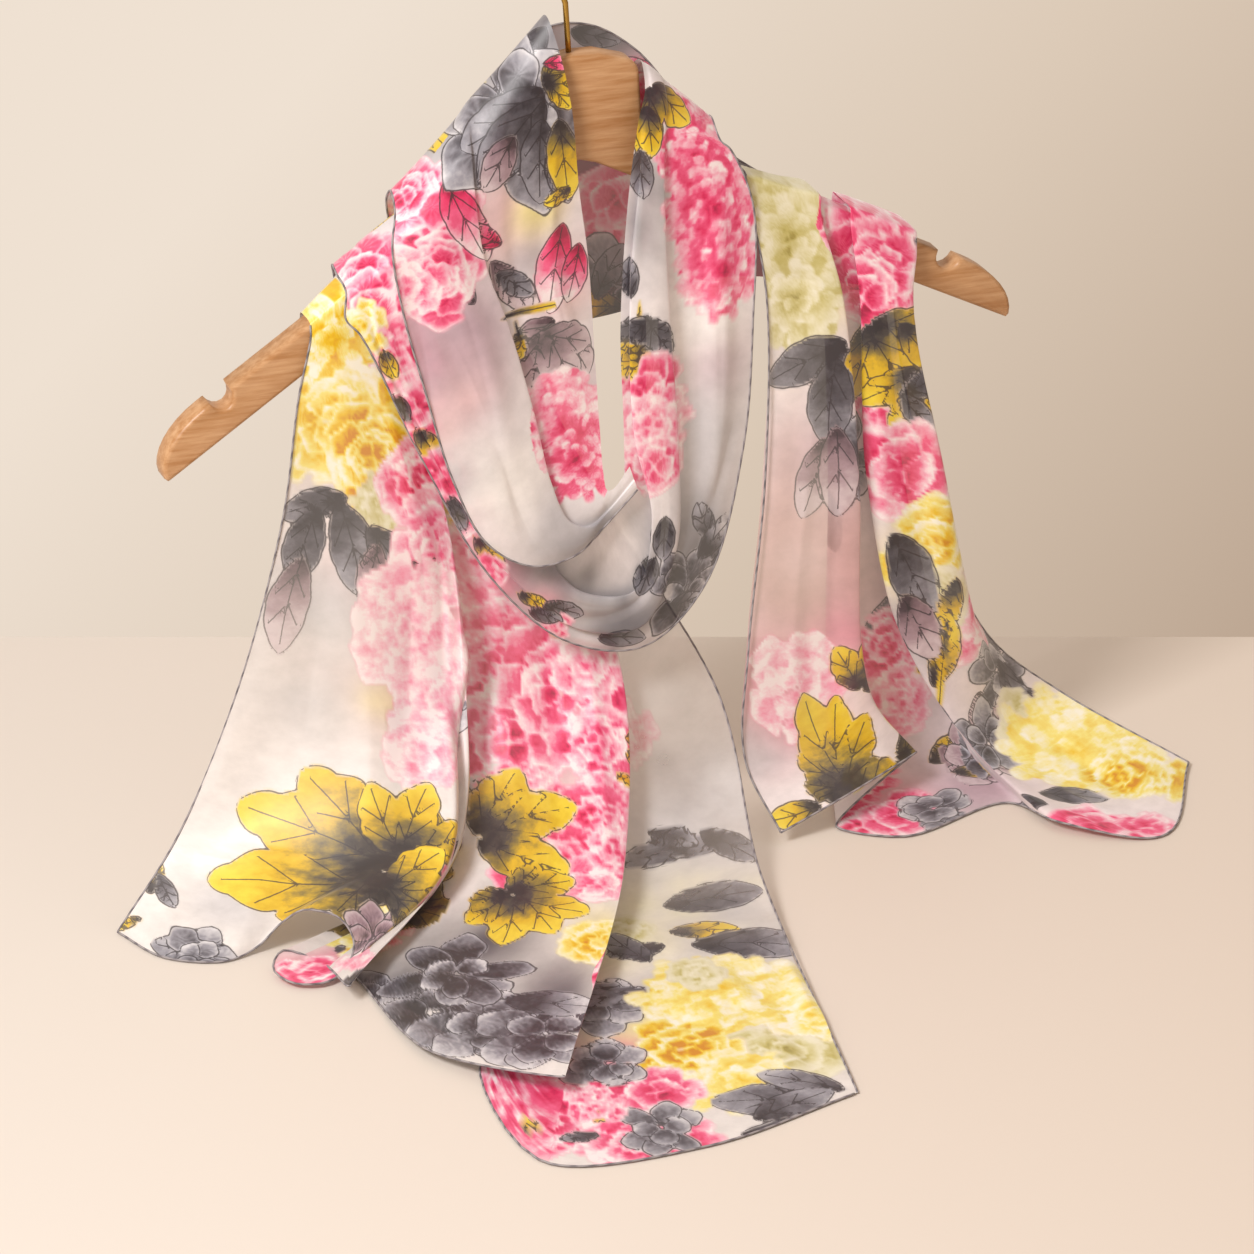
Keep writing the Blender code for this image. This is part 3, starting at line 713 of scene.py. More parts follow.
def chiffonMaterial(name, sheen):
    # polyester chiffon, woven sheer and dye printed: soft blots, thin dark outlines, a silky sheen; its wash
    # colour also carries painted shade and painted highlights
    material, tree, shader = newMaterial(name, 0.38, Sheen_Weight=sheen, Sheen_Roughness=0.35)
    look = chiffonLook
    place = {"Vector": addNode(tree, "UVMap", {"uv_map": "cloth"})}
    blots = {"Scale": 1000 / look["stains"], "Detail": 4.0, "Roughness": 0.6}
    stain = addNode(tree, "TexNoise", blots, place)
    fine = addNode(tree, "TexNoise", {"Scale": 1000 / look["waver"], "Detail": 2.0}, place)
    read = {}
    for attribute in printInks + ("tone", "line", "reach", "sheer"):
        read[attribute] = addNode(tree, "Attribute", {"attribute_name": attribute}).outputs["Fac"]
    # the wash colour: the ground, dye washes, painted shade and painted highlights
    wash = addNode(tree, "Attribute", {"attribute_name": "wash"}).outputs["Color"]
    blot = remap(tree, stain, 0.25, 0.75, -0.22, 0.22)
    tone = addNode(tree, "Math", {"operation": "ADD", "use_clamp": True}, {0: read["tone"], 1: blot})
    pale = remap(tree, stain, 0.3, 0.7, 0.90, 1.06)
    colour = addNode(tree, "VectorMath", {"operation": "SCALE"}, {0: wash, "Scale": pale}).outputs[0]
    for ink in printInks:
        dye = ramp(tree, inkRamps[ink], tone)
        colour = addNode(tree, "Mix", {"data_type": "RGBA"}, {0: read[ink], 6: colour, 7: dye}).outputs[2]
    wobble = addNode(tree, "Math", {"operation": "MULTIPLY_ADD", 1: 0.5, 2: -0.25}, {0: fine})
    away = maths(tree, "ABSOLUTE", maths(tree, "ADD", read["line"], wobble))
    thick = remap(tree, away, look["solidInk"], look["inkGone"], 1.0, 0.0)
    near = remap(tree, read["reach"], 0.9, 1.2, 0.85, 0.0)
    drawn = maths(tree, "MULTIPLY", thick, near)
    ink = {"data_type": "RGBA", 7: (*linearColour(look["inkColour"]), 1.0)}
    inked = addNode(tree, "Mix", ink, {0: drawn, 6: colour})
    thin = remap(tree, read["sheer"], 0.0, 1.0, look["opaque"], look["sheerest"])
    link(tree, shader, {"Base Color": inked.outputs[2], "Alpha": thin})
    return material


def hemMaterial():
    # rolled edge overcast in grey polyester thread, with lighter stitches between
    material, tree, shader = newMaterial("overcastThread", 0.6)
    place = {"Vector": addNode(tree, "UVMap", {"uv_map": "cloth"})}
    # a diagonal wave of scale 1 comes round every 0.628 units
    bands = {"Scale": 628 / hem["stitches"], "Distortion": 1.5, "bands_direction": "DIAGONAL"}
    stitch = addNode(tree, "TexWave", bands, place).outputs["Fac"]
    patchy = addNode(tree, "TexNoise", {"Scale": 1000 / hem["patches"]}, place)
    both = addNode(tree, "Math", {"operation": "MULTIPLY_ADD", 1: 0.7}, {0: stitch, 2: patchy})
    link(tree, shader, {"Base Color": ramp(tree, hem["colours"], both)})
    return material


def newPiece(name, points, strips, caps, flat, material):
    # a smooth shaded mesh: its points, four-sided faces, end caps, and where the points lie on flat cloth
    faces = np.stack(strips, axis=2).reshape(-1, 4).tolist() + caps
    mesh = bpy.data.meshes.new(name)
    mesh.from_pydata(points.reshape(-1, 3).tolist(), [], faces)
    uv = mesh.uv_layers.new(name="cloth")
    order = np.array([v for face in faces for v in face])
    uv.data.foreach_set("uv", flat.reshape(-1, 2)[order].astype(np.float32).ravel())
    mesh.polygons.foreach_set("use_smooth", [True] * len(mesh.polygons))
    mesh.materials.append(material)
    piece = bpy.data.objects.new(name, mesh)
    bpy.context.scene.collection.objects.link(piece)
    return piece


def clothMesh(cloth, material):
    rows, columns = cloth["grid"].shape[:2]
    index = np.arange(rows * columns).reshape(rows, columns)
    strips = [index[:-1, :-1], index[:-1, 1:], index[1:, 1:], index[1:, :-1]]
    piece = newPiece(cloth["name"], cloth["grid"], strips, [], cloth["flat"], material)
    cloth["print"]["reach"] = np.abs(cloth["print"]["line"])
    for name, values in cloth["print"].items():
        kind, slot = ("FLOAT_COLOR", "color") if name == "wash" else ("FLOAT", "value")
        paint = piece.data.attributes.new(name, kind, "POINT")
        paint.data.foreach_set(slot, values.astype(np.float32).ravel())
    return piece


hem = {
    "radius": 0.55 * mm, "sides": 6, "step": 2,
    "overArm": 24,       # rows of the grid that lie over the arm, where no hem shows
    "width": 5 * mm,     # of its thread, laid out flat
    "stitches": 8.8,     # mm between pale ones, measured along the hem and across it together
    "patches": 30,       # mm, the length of a paler or darker stretch
    "colours": [(0.30, "#5c575c"), (0.60, "#7b757a"), (0.9, "#9c9698")],
}


def hemTube(name, line, material):
    # a thin round roll along a line of points
    sides = hem["sides"]
    ahead = np.gradient(line, axis=0)
    ahead /= np.linalg.norm(ahead, axis=1)[:, None] + 1e-12
    side = np.cross(ahead, np.array([0.13, 0.21, 0.97]))
    side /= np.linalg.norm(side, axis=1)[:, None] + 1e-12
    up = np.cross(side, ahead)
    turns = np.arange(sides) * 2 * pi / sides
    cosines, sines = np.cos(turns)[None, :, None], np.sin(turns)[None, :, None]
    rings = line[:, None] + hem["radius"] * (side[:, None] * cosines + up[:, None] * sines)
    rings[:, :, 2] = np.maximum(rings[:, :, 2], clothRest["restZ"] - clothRest["hemDrop"])
    index = np.arange(len(line) * sides).reshape(-1, sides)
    after = np.roll(index, -1, axis=1)
    strips = [index[:-1], after[:-1], after[1:], index[1:]]
    caps = [index[0][::-1].tolist(), index[-1].tolist()]
    run = np.concatenate([[0.0], np.cumsum(np.linalg.norm(np.diff(line, axis=0), axis=1))])
    flat = np.stack([np.repeat(run, sides), np.tile(turns / (2 * pi) * hem["width"], len(line))], axis=1)
    return newPiece(name, rings, strips, caps, flat, material)


def edge(grid, side, skip):
    lines = {"left": grid[skip:, 0], "right": grid[skip:, -1], "foot": grid[-1]}
    return lines[side][::hem["step"]]


def dress(settings, grid, skip=0):
    # creases and prints the cloth, meshes it, rolls its hems and tells the frame what it is
    cloth = {"name": settings["name"], "grid": grid, "flat": flatten(grid, settings["middle"])}
    cloth["seen"] = seenAt(grid.reshape(-1, 3))
    hems = [edge(grid, side, skip) for side in settings["hems"]]
    addCreases(cloth, settings["creases"])
    cloth["seen"] = seenAt(cloth["grid"].reshape(-1, 3))
    cloth["out"] = normals(cloth["grid"]).reshape(-1, 3)
    printCloth(cloth, settings)
    piece = clothMesh(cloth, chiffonMaterial(settings["material"], settings["sheen"]))
    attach(piece, "root")
    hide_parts(settings["node"])
    thread = bpy.data.materials.get("overcastThread") or hemMaterial()
    rolls = [hemTube(f"{cloth['name']}Hem{i + 1}", line, thread) for i, line in enumerate(hems)]
    for roll in rolls:
        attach(roll, "root")
    print(cloth["name"], "cloth done", len(piece.data.polygons), "faces")


neckWrap = {
    "name": "neckWrapCloth", "node": "neck_wrap", "material": "printedChiffonWrap", "sheen": 0.35,
    "middle": 0.5, "hems": ["left"], "flatSize": (0.095, 0.32),
    # the dark rose ground, the wine wash and the slate washes are the pink print darkened by painted shade,
    # where this stretch lies behind the hanger
    "ground": "#9c4860",
    "creases": [],
    "washes": [
        ("wine", (605, 240, 36, 1.0)), ("slate", (640, 180, 20, 0.6)),
        ("silver", (590, 30, 30, 1.0), (640, 50, 24)), ("slate", (625, 28, 12, 0.8)),
        ("rose", (655, 82, 14, 1.0), (685, 110, 16, 1.0)), ("smoke", (720, 140, 20)),
    ],
    "motifs": [
        ("pink peony", (600, 230, 30)), ("pink poppy", (620, 200, 24)),
        ("grey lily", (615, 290, 30), (720, 140, 26)), ("ochre leaf", (630, 318, 34, 180)),
        ("grey leaf", (600, 300, 30, 60), (575, 30, 30, -20)), ("pink leaf", (660, 75, 24, 160)),
    ],
}


def makeNeckWrap():
    dress(neckWrap, clothGrid(neckWrapRows, [30] * 8, [36] * 4))


leftTail = {
    "name": "leftTailCloth", "node": "left_tail", "material": "printedChiffonLeft", "sheen": 0.35,
    "middle": 0.45, "hems": ["left", "foot", "right"], "flatSize": (0.42, 0.5),
    "along": [14, 3, 3, 3, 3, 28, 30, 42, 46, 100],
    "acrossCurl": [16, 16, 14, 12, 10, 9, 8, 8, 8, 7, 7, 7, 7, 14],
    "acrossRest": [10, 40, 44, 12, 14, 48, 46],
    "ground": "#eae4e1",
    "creases": [
        (330, 400, 300, 760, 11, 2.4), (362, 520, 368, 820, 9, -2.2), (415, 560, 410, 830, 8, 2.4),
        (446, 480, 440, 800, 6, -2.0), (497, 540, 510, 850, 6, -2.2), (535, 540, 560, 900, 8, 2.6),
        (577, 540, 596, 900, 6, -2.2), (482, 700, 492, 930, 6, 2.2), (650, 700, 680, 1050, 10, 2.4),
        (700, 740, 765, 1080, 11, -2.6), (600, 960, 650, 1140, 8, 2.2), (205, 850, 168, 950, 9, 2.0),
        (262, 840, 236, 955, 9, -2.0), (255, 600, 215, 800, 14, -2.4), (400, 930, 470, 1045, 9, 2.2),
        (770, 900, 820, 1070, 8, 2.0), (390, 400, 430, 620, 8, -2.2),
    ],
    "washes": [
        ("blush", (420, 540, 40, 1.0), (425, 690, 34)), ("rose", (495, 640, 28), (570, 720, 30)),
        ("lemon", (585, 625, 24)), ("rose", (455, 600, 18, 0.7)), ("silver", (315, 610, 28, 0.8)),
        ("smoke", (285, 600, 9, 0.6)), ("silver", (300, 700, 18, 0.6)),
        ("lemon", (380, 700, 14, 0.6), (435, 740, 12, 0.5)), ("butter", (640, 930, 26, 0.7)),
        # the silver wash at 700, 800 and the smoke wash at 665, 760 darken the third panel: painted shade,
        # with the darker table behind the sheer cloth painted in
        ("smoke", (640, 1000, 20, 0.6)), ("silver", (700, 800, 36), (770, 930, 22, 0.6)),
        ("smoke", (665, 760, 10, 0.5)),
        ("sheer", (690, 720, 64, 1.0), (300, 660, 50, 0.55), (720, 850, 40, 0.5)),
        ("lemon", (600, 930, 18)), ("silver", (230, 900, 24, 0.7)),
        ("slate", (480, 940, 30, 1.0), (560, 990, 30), (400, 980, 26)), ("rose", (600, 1090, 30)),
        ("lemon", (345, 400, 30, 0.8), (800, 1050, 20, 0.5)),
        ("rose", (292, 968, 13, 1.0), (318, 962, 13, 1.0), (340, 950, 12)), ("mauve", (375, 930, 10)),
        ("rose", (585, 1078, 14, 1.0), (560, 1100, 20, 1.0), (500, 1090, 20, 1.0)),
        ("lemon", (700, 1000, 30, 0.8)),
    ],
    "motifs": [
        ("yellow mum", (335, 340, 30)), ("yellow peony", (340, 425, 36, 80)),
        ("gold peony", (375, 460, 28, -60)), ("lime mum", (385, 505, 16, 0)),
        ("grey leaf", (350, 505, 36, 190), (340, 505, 48, -80), (325, 510, 44, -108), (372, 525, 38, -60)),
        ("mauve leaf", (395, 570, 34, -90), (380, 545, 30, -110), (305, 560, 46, -95)),
        ("pink peony", (425, 480, 26, 60)), ("blush peony", (440, 550, 30, 10)),
        ("mauve leaf", (415, 560, 24, -70), (440, 560, 26, -95)),
        ("haze peony", (415, 630, 34, 40), (445, 700, 30, 40), (420, 750, 22, 40)),
        ("blush peony", (480, 560, 24, 10)), ("blush mum", (500, 610, 26, 10)),
        ("pink peony", (490, 665, 32, 0), (510, 740, 36, 10), (560, 690, 34, 70)),
        ("blush peony", (595, 660, 20, 90)), ("pink peony", (600, 740, 24, 20)),
        ("yellow leaf", (628, 740, 24, 10), (628, 755, 30, -25), (625, 770, 30, -60), (622, 775, 24, -88)),
        ("pink peony", (590, 815, 28, 40), (545, 860, 26, 40)), ("blush poppy", (595, 880, 20, 50)),
        ("pink peony", (625, 850, 18, 40)), ("yellow peony", (600, 940, 24, 20)),
        ("lime peony", (625, 930, 16, 20)),
        ("slate lily", (370, 1000, 36, -20), (430, 1010, 42, -10), (490, 1020, 42, 40), (545, 1030, 40, 20)),
        ("slate lily", (455, 970, 34, 80)), ("slate leaf", (500, 1000, 50, -15)),
        ("grey lily", (600, 1000, 32, 20)), ("ochre fan", (478, 835, 56, 20)),
        ("ochre vineLeaf", (510, 893, 44, -60)), ("ochre plume", (385, 868, 96, 176)),
        ("ochre fan", (405, 850, 46, 72), (385, 885, 44, -5)),
        ("grey leaf", (640, 860, 34, 50), (660, 850, 34, 10), (700, 830, 36, -40), (690, 840, 36, 200)),
        ("grey leaf", (650, 830, 26, -20), (665, 905, 56, 10)), ("ochre leaf", (670, 930, 34, 0)),
        ("grey leaf", (690, 940, 56, -6), (665, 940, 34, -160), (650, 960, 36, 120), (645, 985, 40, 200)),
        ("lime peony", (715, 1000, 30, 0)), ("cream mum", (745, 1010, 54, 20)),
        ("lime peony", (780, 1050, 36, 60)), ("yellow mum", (700, 1000, 30, 20)),
        ("gold peony", (690, 1045, 30, 20)), ("cream mum", (740, 1080, 30, 20)),
        ("cream peony", (820, 1010, 26, 60)), ("cream mum", (722, 987, 38, 20)),
        ("lime peony", (700, 970, 16, 20)),
        ("grey leaf", (830, 1105, 60, 185), (845, 1090, 40, 160), (740, 1130, 52, 10), (760, 1120, 44, 40)),
        ("pink peony", (510, 1080, 30), (540, 1120, 36)), ("pink poppy", (605, 1090, 34, 70)),
        ("pink peony", (640, 1140, 34)), ("pink poppy", (660, 1090, 26)), ("grey lily", (610, 1060, 26)),
        ("ochre leaf", (575, 1115, 24, 10), (520, 1130, 16, 80)), ("grey lily", (665, 1125, 24)),
        ("grey leaf", (600, 1130, 22, 200)), ("pink peony", (592, 1093, 12, 40), (600, 1108, 12, 70)),
        ("grey leaf", (285, 940, 52, 180), (240, 955, 40, 165)), ("grey lily", (200, 955, 22, 0)),
        ("ochre leaf", (148, 890, 20, 70)), ("grey leaf", (160, 870, 20, -60)),
        ("ochre leaf", (140, 915, 14, 200)), ("mauve lily", (372, 935, 18)),
        ("haze poppy", (352, 958, 14, 80)), ("ochre leaf", (395, 905, 20, -60)),
        ("pink poppy", (290, 970, 14), (318, 968, 16, 70)), ("grey leaf", (335, 950, 10, 70)),
    ],
}


def makeLeftTail():
    folds = rolledFolds(*leftTailFolds[:4]) + leftTailFolds[4:]
    across = leftTail["acrossCurl"] + leftTail["acrossRest"]
    dress(leftTail, tailGrid(folds, leftTail["along"], across), hem["overArm"])


rightTail = {
    "name": "rightTailCloth", "node": "right_tail", "material": "printedChiffonRight", "sheen": 0.35,
    "middle": 0.45, "hems": ["left", "foot", "right"], "flatSize": (0.22, 0.43),
    "along": [30, 5, 5, 5, 5, 56, 60, 62, 44, 78],
    "ground": "#f0e6e8",
    "creases": [
        (785, 290, 772, 780, 9, 2.4), (822, 290, 812, 760, 7, -2.2), (842, 440, 848, 720, 5, 1.8),
        (885, 320, 905, 640, 6, -2.2), (920, 320, 945, 620, 7, 2.4), (1030, 720, 1150, 800, 9, 2.0),
        (1010, 760, 1120, 830, 7, -1.8), (762, 380, 758, 640, 5, 1.6),
    ],
    "washes": [
        ("dusk", (800, 570, 70, 1.0)), ("blush", (805, 560, 16, 0.7), (780, 660, 14, 0.8)),
        ("rose", (770, 680, 26, 0.7), (850, 640, 22, 0.7)), ("mauve", (835, 450, 22, 0.8)),
        # the smoke washes at 940, 650 and 900, 620 are painted shade along the second panel's V fold
        ("rose", (790, 730, 24, 0.7)), ("lemon", (935, 550, 26)), ("smoke", (940, 650, 18, 0.6)),
        ("lemon", (800, 250, 38)), ("silver", (775, 330, 18, 0.6)), ("smoke", (900, 620, 12, 0.5)),
        ("blush", (890, 670, 24)), ("sheer", (790, 570, 56, 0.7)), ("mauve", (985, 785, 36, 1.0)),
        ("silver", (760, 760, 20, 0.7)), ("lemon", (1080, 760, 30, 0.6)), ("rose", (900, 800, 22, 0.8)),
    ],
    "motifs": [
        ("grey leaf", (735, 130, 26, -20)), ("lime mum", (780, 190, 30), (795, 245, 34), (800, 305, 28)),
        ("grey leaf", (850, 350, 46, 205), (848, 350, 36, -100), (845, 360, 50, -92)),
        ("mauve leaf", (830, 440, 40, -110), (840, 430, 44, -92)), ("haze peony", (800, 690, 30)),
        ("pink peony", (850, 215, 30)), ("pink poppy", (880, 215, 26)), ("pink peony", (880, 280, 30, 80)),
        ("pink poppy", (860, 300, 20, 20)), ("ochre fan", (872, 325, 46, -62)),
        ("ochre leaf", (905, 325, 36, -50)), ("ochre fan", (920, 370, 36, -110)),
        ("grey leaf", (900, 400, 34, 20), (905, 395, 26, -40)), ("pink poppy", (905, 475, 32)),
        ("yellow peony", (935, 550, 26)), ("lime peony", (945, 600, 20)),
        ("ochre leaf", (955, 580, 34, -95), (930, 690, 36, 70)), ("ochre stem", (950, 620, 50, -80)),
        ("grey leaf", (885, 540, 50, -62)), ("mauve leaf", (900, 600, 44, -60)),
        ("pink peony", (885, 650, 22)), ("blush peony", (900, 700, 20)),
        ("ochre plume", (850, 790, 60, 118)), ("ochre fan", (865, 690, 32, 80)),
        ("ochre leaf", (820, 800, 30, 200)), ("ochre fan", (900, 755, 40, 10)),
        ("ochre leaf", (930, 760, 26, 40)), ("pink peony", (855, 825, 30)), ("pink poppy", (900, 810, 24)),
        ("grey lily", (935, 805, 24, 20)), ("mauve lily", (990, 740, 30, 60)),
        ("ochre leaf", (955, 770, 26, 10)), ("grey lily", (1000, 670, 26, -30)),
        ("grey leaf", (1010, 690, 44, -30), (1000, 660, 40, -50)), ("grey lily", (990, 740, 24, 60)),
        ("grey leaf", (1000, 740, 46, -20)), ("lime peony", (1040, 730, 26, 20)),
        ("cream mum", (1080, 745, 42, 20)), ("yellow peony", (1150, 770, 26, 20)),
        ("gold peony", (1120, 775, 22, 20)), ("grey leaf", (1040, 790, 36, -5), (1050, 800, 24, 160)),
        ("pink poppy", (1095, 820, 22), (1150, 825, 18)),
    ],
}


def makeRightTail():
    across = [24] * (len(rightTailFolds) - 1)
    dress(rightTail, tailGrid(rightTailFolds, rightTail["along"], across), hem["overArm"])


mainLoop = {
    "name": "mainLoopCloth", "node": "main_loop", "material": "printedChiffonLoop", "sheen": 0.5,
    "middle": 0.5, "hems": ["right"], "flatSize": (0.07, 0.66),
    "ground": "#efe9eb",
    "creases": [
        (700, 150, 690, 560, 8, -2.2), (725, 200, 715, 520, 6, 2.2), (665, 500, 560, 610, 5, -2.0),
        (695, 520, 600, 632, 5, 2.2), (400, 380, 520, 590, 5, 1.8), (640, 200, 640, 480, 4, 1.6),
        (530, 560, 640, 600, 4, 1.8), (735, 420, 700, 560, 5, -1.8), (380, 300, 450, 460, 5, -1.6),
    ],
    # the white and silver washes are painted satin highlights, and the slate washes at the loop's bottom are
    # painted shadow on its grey
    "washes": [
        ("white", (700, 350, 30, 0.8)), ("mauve", (725, 370, 20, 0.8)), ("silver", (700, 430, 30)),
        ("smoke", (705, 520, 26), (548, 590, 24, 1.0)), ("slate", (700, 570, 18, 0.8), (680, 590, 18, 0.8)),
        ("smoke", (515, 575, 24, 1.0)), ("slate", (620, 610, 16, 0.8)), ("smoke", (650, 625, 18)),
        ("slate", (590, 580, 12, 0.6)), ("silver", (612, 600, 10, 1.0), (545, 600, 9), (650, 560, 14, 0.8)),
        ("slate", (620, 635, 16, 0.6)), ("rose", (370, 330, 26), (420, 440, 22)),
        ("lemon", (430, 470, 16, 0.8)), ("rose", (480, 545, 18, 0.8)),
        ("smoke", (640, 230, 16, 0.7), (660, 190, 14, 0.7)), ("silver", (640, 520, 14)),
        ("smoke", (655, 580, 12, 0.8)), ("rose", (500, 590, 12, 0.8), (400, 400, 18)),
        ("lemon", (385, 365, 12)), ("rose", (450, 515, 18), (540, 610, 10, 0.8)),
        ("silver", (720, 450, 18, 0.7)), ("smoke", (672, 400, 10, 0.6)),
    ],
    "motifs": [
        ("pink peony", (365, 280, 26)), ("pink poppy", (380, 310, 20)), ("pink peony", (400, 360, 24)),
        ("yellow peony", (360, 330, 14)), ("ochre leaf", (382, 350, 18, -70)),
        ("pink poppy", (415, 410, 18)), ("grey leaf", (398, 395, 18, -60)), ("pink poppy", (460, 520, 16)),
        ("ochre leaf", (420, 430, 24, -60)), ("pink poppy", (440, 480, 20)),
        ("grey leaf", (450, 500, 20, -60)), ("ochre leaf", (475, 540, 22, -50)),
        ("pink poppy", (490, 578, 11)), ("ochre leaf", (520, 595, 16, -30)),
        ("grey leaf", (545, 605, 22, -25)), ("pink poppy", (560, 630, 9)),
        ("grey leaf", (600, 642, 24, -10), (660, 630, 26), (705, 575, 30, 75), (715, 540, 24, 110)),
        ("slate lily", (690, 590, 24, 60)), ("slate leaf", (700, 560, 26, 40), (672, 612, 22, 10)),
        ("grey leaf", (530, 612, 18, -25)), ("pink peony", (690, 110, 18)),
        ("pink mum", (700, 160, 24), (712, 210, 28), (725, 270, 26)), ("ochre fan", (655, 85, 34, -75)),
        ("ochre leaf", (650, 110, 28, -85)), ("grey leaf", (640, 150, 26, -85)),
        ("ochre stem", (650, 380, 40, 95)), ("grey fan", (650, 320, 32, -95)),
        ("grey leaf", (635, 300, 20, 90)), ("ochre fan", (655, 355, 22, 210)),
        ("pink poppy", (650, 400, 22)), ("blush peony", (655, 430, 24, 10)),
        ("pink poppy", (655, 470, 20, 60)), ("grey leaf", (665, 520, 24, -90), (655, 560, 22, -110)),
    ],
}


def makeMainLoop():
    dress(mainLoop, loopGrid(mainLoopSections, loopProfile, False, 28, 20))


frontBand = {
    "name": "frontBandCloth", "node": "front_band", "material": "printedChiffonBand", "sheen": 0.5,
    "middle": 0.5, "hems": ["left"], "flatSize": (0.115, 0.33),
    "ground": "#efe9eb",
    "creases": [
        (430, 200, 520, 540, 8, -2.4), (450, 330, 540, 550, 6, 2.2), (480, 160, 560, 440, 6, -2.0),
        (520, 120, 580, 420, 6, 2.0), (560, 100, 585, 360, 4, -1.4), (400, 230, 440, 430, 6, 1.8),
    ],
    # the white wash down the band is a painted satin highlight, and the silver washes beside it are painted
    # shade
    "washes": [
        ("blush", (510, 210, 34)), ("mauve", (440, 370, 34, 1.0)), ("rose", (430, 320, 20, 0.7)),
        ("white", (510, 480, 26)), ("blush", (440, 430, 14, 0.6)),
        ("smoke", (575, 555, 18, 0.8), (440, 110, 34, 0.8), (500, 60, 30, 0.7)),
        ("lemon", (540, 210, 15, 1.0)), ("mauve", (460, 330, 26, 1.0)), ("blush", (470, 400, 16, 0.7)),
        ("mauve", (560, 420, 30)), ("silver", (460, 480, 14, 0.8), (560, 520, 12, 0.7)),
        ("smoke", (605, 525, 12)), ("blush", (575, 290, 20, 0.7)),
        ("smoke", (530, 260, 14, 0.5), (540, 30, 26)), ("slate", (552, 20, 9)),
    ],
    "motifs": [
        ("pink peony", (420, 235, 34), (400, 195, 22), (440, 280, 24, 90)),
        ("blush peony", (405, 290, 20, 90)), ("pink leaf", (448, 175, 40, -62), (505, 245, 24, 150)),
        ("grey leaf", (545, 28, 34, 240), (530, 60, 44, 235)), ("grey lily", (515, 110, 44, 230)),
        ("grey leaf", (545, 90, 54, 215), (548, 100, 50, 245)), ("mauve leaf", (520, 140, 34, 235)),
        ("grey leaf", (550, 120, 42, 270), (555, 150, 28, 290)), ("ochre fan", (545, 85, 20, 0)),
        ("ochre leaf", (566, 120, 40, -85)), ("pink leaf", (545, 62, 16, 0)),
        ("ochre leaf", (575, 190, 16, 200)), ("pink leaf", (568, 225, 42, -92), (582, 245, 32, -105)),
        ("mauve leaf", (495, 262, 34, -55)), ("grey leaf", (497, 275, 26, -35)),
        ("ochre stem", (505, 325, 44, 12), (520, 322, 34, -75)),
        ("mauve fan", (560, 322, 38, -100), (545, 335, 36, -60)), ("ochre leaf", (520, 330, 18, -80)),
        ("blush mum", (565, 410, 24)), ("pink mum", (580, 455, 24)),
    ],
}


def makeFrontBand():
    dress(frontBand, loopGrid(frontBandSections, bandProfile, True, 38, 32))


hanger = {"face": "#cb9f75", "grain": "#ad7a4b", "ring": 3.2, "brass": "#b8934a"}


def beechMaterial():
    # beech, planed and lacquered: warm pale wood with fine grain along each arm
    material, tree, shader = newMaterial("lacqueredBeech", 0.38)
    place = addNode(tree, "TexCoord").outputs["Object"]
    parts = addNode(tree, "SeparateXYZ", None, {0: place})
    side = maths(tree, "ABSOLUTE", parts)
    folded = addNode(tree, "CombineXYZ", None, {0: side, 1: parts.outputs[1], 2: parts.outputs[2]})
    stretch = {"Rotation": (0, radians(-30), 0), "Scale": (25, 250, 1000 / hanger["ring"])}
    along = addNode(tree, "Mapping", stretch, {"Vector": folded})
    grain = addNode(tree, "TexNoise", {"Scale": 1.0, "Detail": 6.0, "Roughness": 0.65}, {"Vector": along})
    colour = ramp(tree, [(0.35, hanger["grain"]), (0.65, hanger["face"])], grain)
    bump = addNode(tree, "Bump", {"Strength": 0.08, "Distance": 0.0004}, {"Height": grain})
    link(tree, shader, {"Base Color": colour, "Normal": bump})
    return material


def brassMaterial():
    # brass plated wire, drawn and polished
    base = (*linearColour(hanger["brass"]), 1.0)
    material, tree, shader = newMaterial("polishedBrassPlate", 0.5, Metallic=1.0, Base_Color=base)
    place = addNode(tree, "TexCoord").outputs["Object"]
    wear = addNode(tree, "TexNoise", {"Scale": 400.0, "Detail": 3.0}, {"Vector": place})
    link(tree, shader, {"Roughness": remap(tree, wear, 0.0, 1.0, 0.18, 0.34)})
    return material


def smoothCopy(node, name, material, angle):
    bpy.ops.object.select_all(action="DESELECT")
    piece = bpy.data.objects.new(name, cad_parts[node].data.copy())
    bpy.context.scene.collection.objects.link(piece)
    piece.select_set(True)
    bpy.context.view_layer.objects.active = piece
    bpy.ops.object.mode_set(mode="EDIT")
    bpy.ops.mesh.select_all(action="SELECT")
    bpy.ops.mesh.remove_doubles(threshold=0.00001)
    bpy.ops.object.mode_set(mode="OBJECT")
    bpy.ops.object.shade_smooth_by_angle(angle=radians(angle))
    piece.data.materials.clear()
    piece.data.materials.append(material)
    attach(piece, "root")
    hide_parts(node)
    return piece


def makeHanger():
    smoothCopy("hanger_shoulders", "hangerShoulders", beechMaterial(), 40)
    smoothCopy("hanger_hook", "hangerHook", brassMaterial(), 50)
    print("hanger done")


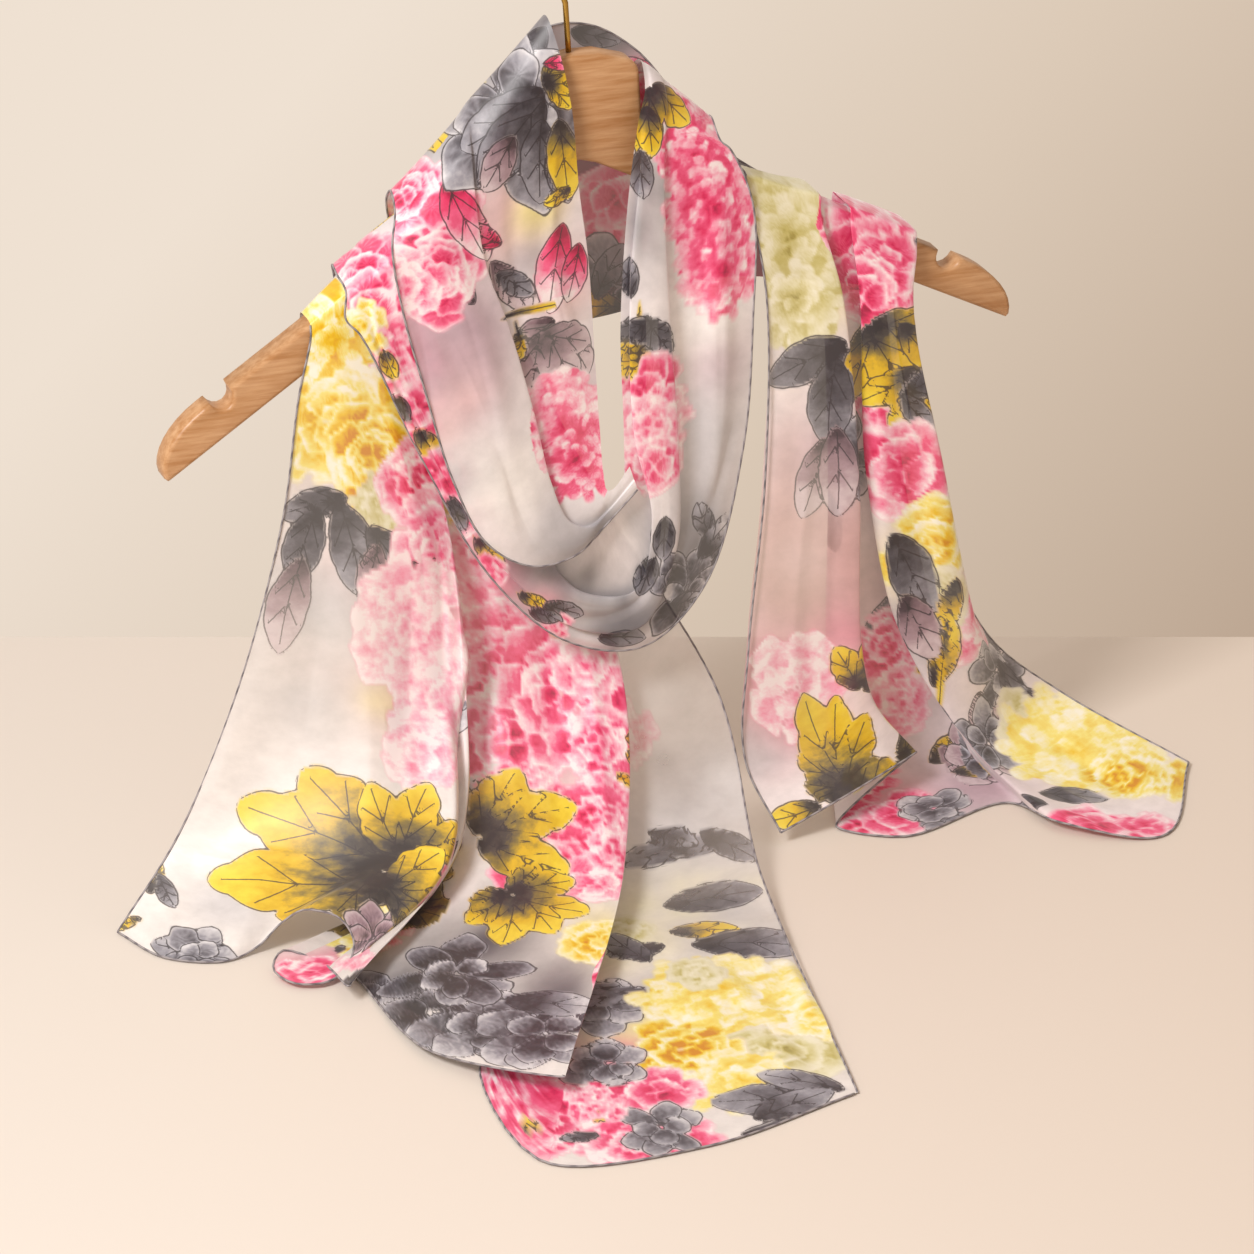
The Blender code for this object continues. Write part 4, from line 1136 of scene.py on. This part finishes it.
room = {
    "tableZ": -0.48505, "tableBack": 0.2236, "tableWidth": 6.0, "tableDepth": 3.0,
    # colours from the viewer's left to right, and the span in which they change: painted light and shade,
    # brighter on the left towards the key light and darker to the right
    "table": [(0.0, "#e0d8d0"), (0.45, "#e2d8ce"), (1.0, "#ddd0c4")],
    "wall": [(0.0, "#efe1d2"), (0.5, "#dccab7"), (1.0, "#bda793")],
    "tableSpan": (-0.3, 0.35), "wallSpan": (-0.115, 0.09),
    # painted shade: the wall's colour darkens towards its foot
    "wallSlope": 0.9,   # the wall also darkens from its top to its foot
    "ambient": 0.82,    # it lights less than it shows
    "aim": Vector((0.0, 0.0, -0.25)),
    "lights": [
        ("keyLight", (-1.8, -1.2, 1.6), 0.8, 66.0, "#fefcfb"),
        ("fillLight", (1.9, -1.6, 0.9), 1.6, 4.0, "#f6f4ff"),
    ],
}


def putAt(thing, location, facing):
    thing.location = location
    thing.rotation_mode = "QUATERNION"
    thing.rotation_quaternion = facing.to_track_quat("Z", "Y")
    bpy.context.scene.collection.objects.link(thing)


def makeTable():
    bpy.ops.object.select_all(action="DESELECT")
    bpy.ops.mesh.primitive_plane_add(size=1.0, location=(0.0, 0.0, 0.0))
    table = bpy.context.object
    table.name = "paleTable"
    right, _, back = viewAxes()
    ahead = np.array([-back[0], -back[1], 0.0]) / hypot(back[0], back[1])
    for vertex in table.data.vertices:
        deep = room["tableBack"] + (vertex.co.y - 0.5) * room["tableDepth"]
        spot = right * vertex.co.x * room["tableWidth"] + ahead * deep
        vertex.co = (spot[0], spot[1], room["tableZ"])
    material, tree, shader = newMaterial("paleTableTop", 0.55)
    where = addNode(tree, "TexCoord").outputs["Object"]
    across = addNode(tree, "VectorMath", {"operation": "DOT_PRODUCT", 1: tuple(right)}, {0: where})
    share = remap(tree, across.outputs["Value"], *room["tableSpan"], 0.0, 1.0)
    link(tree, shader, {"Base Color": ramp(tree, room["table"], share)})
    table.data.materials.append(material)


def makeRoom():
    makeTable()
    world = bpy.data.worlds.new("room")
    bpy.context.scene.world = world
    world.use_nodes = True
    tree = world.node_tree
    right, up, back = viewAxes()
    slant = tuple(right - up * room["wallSlope"])
    way = addNode(tree, "TexCoord").outputs["Generated"]
    across = addNode(tree, "VectorMath", {"operation": "DOT_PRODUCT", 1: slant}, {0: way})
    start, end = (limit - float(np.dot(slant, back)) for limit in room["wallSpan"])
    share = remap(tree, across.outputs["Value"], start, end, 0.0, 1.0)
    seen = addNode(tree, "LightPath").outputs["Is Camera Ray"]
    strength = remap(tree, seen, 0.0, 1.0, room["ambient"], 1.0)
    link(tree, tree.nodes["Background"], {"Color": ramp(tree, room["wall"], share), "Strength": strength})
    for name, location, size, power, colour in room["lights"]:
        data = bpy.data.lights.new(name, "AREA")
        data.size = size
        data.energy = power
        data.color = linearColour(colour)
        putAt(bpy.data.objects.new(name, data), location, Vector(location) - room["aim"])
    print("room done")


def makeCamera():
    data = bpy.data.cameras.new("camera")
    data.lens = view["lens"]
    data.sensor_width = view["sensor"]
    data.clip_end = view["farthest"]
    camera = bpy.data.objects.new("camera", data)
    putAt(camera, view["eye"], Vector(viewAxes()[2]))
    bpy.context.scene.camera = camera
    bpy.context.scene.view_settings.view_transform = "Standard"


makeCamera()
makeRoom()
makeHanger()
makeNeckWrap()
makeLeftTail()
makeRightTail()
makeMainLoop()
makeFrontBand()
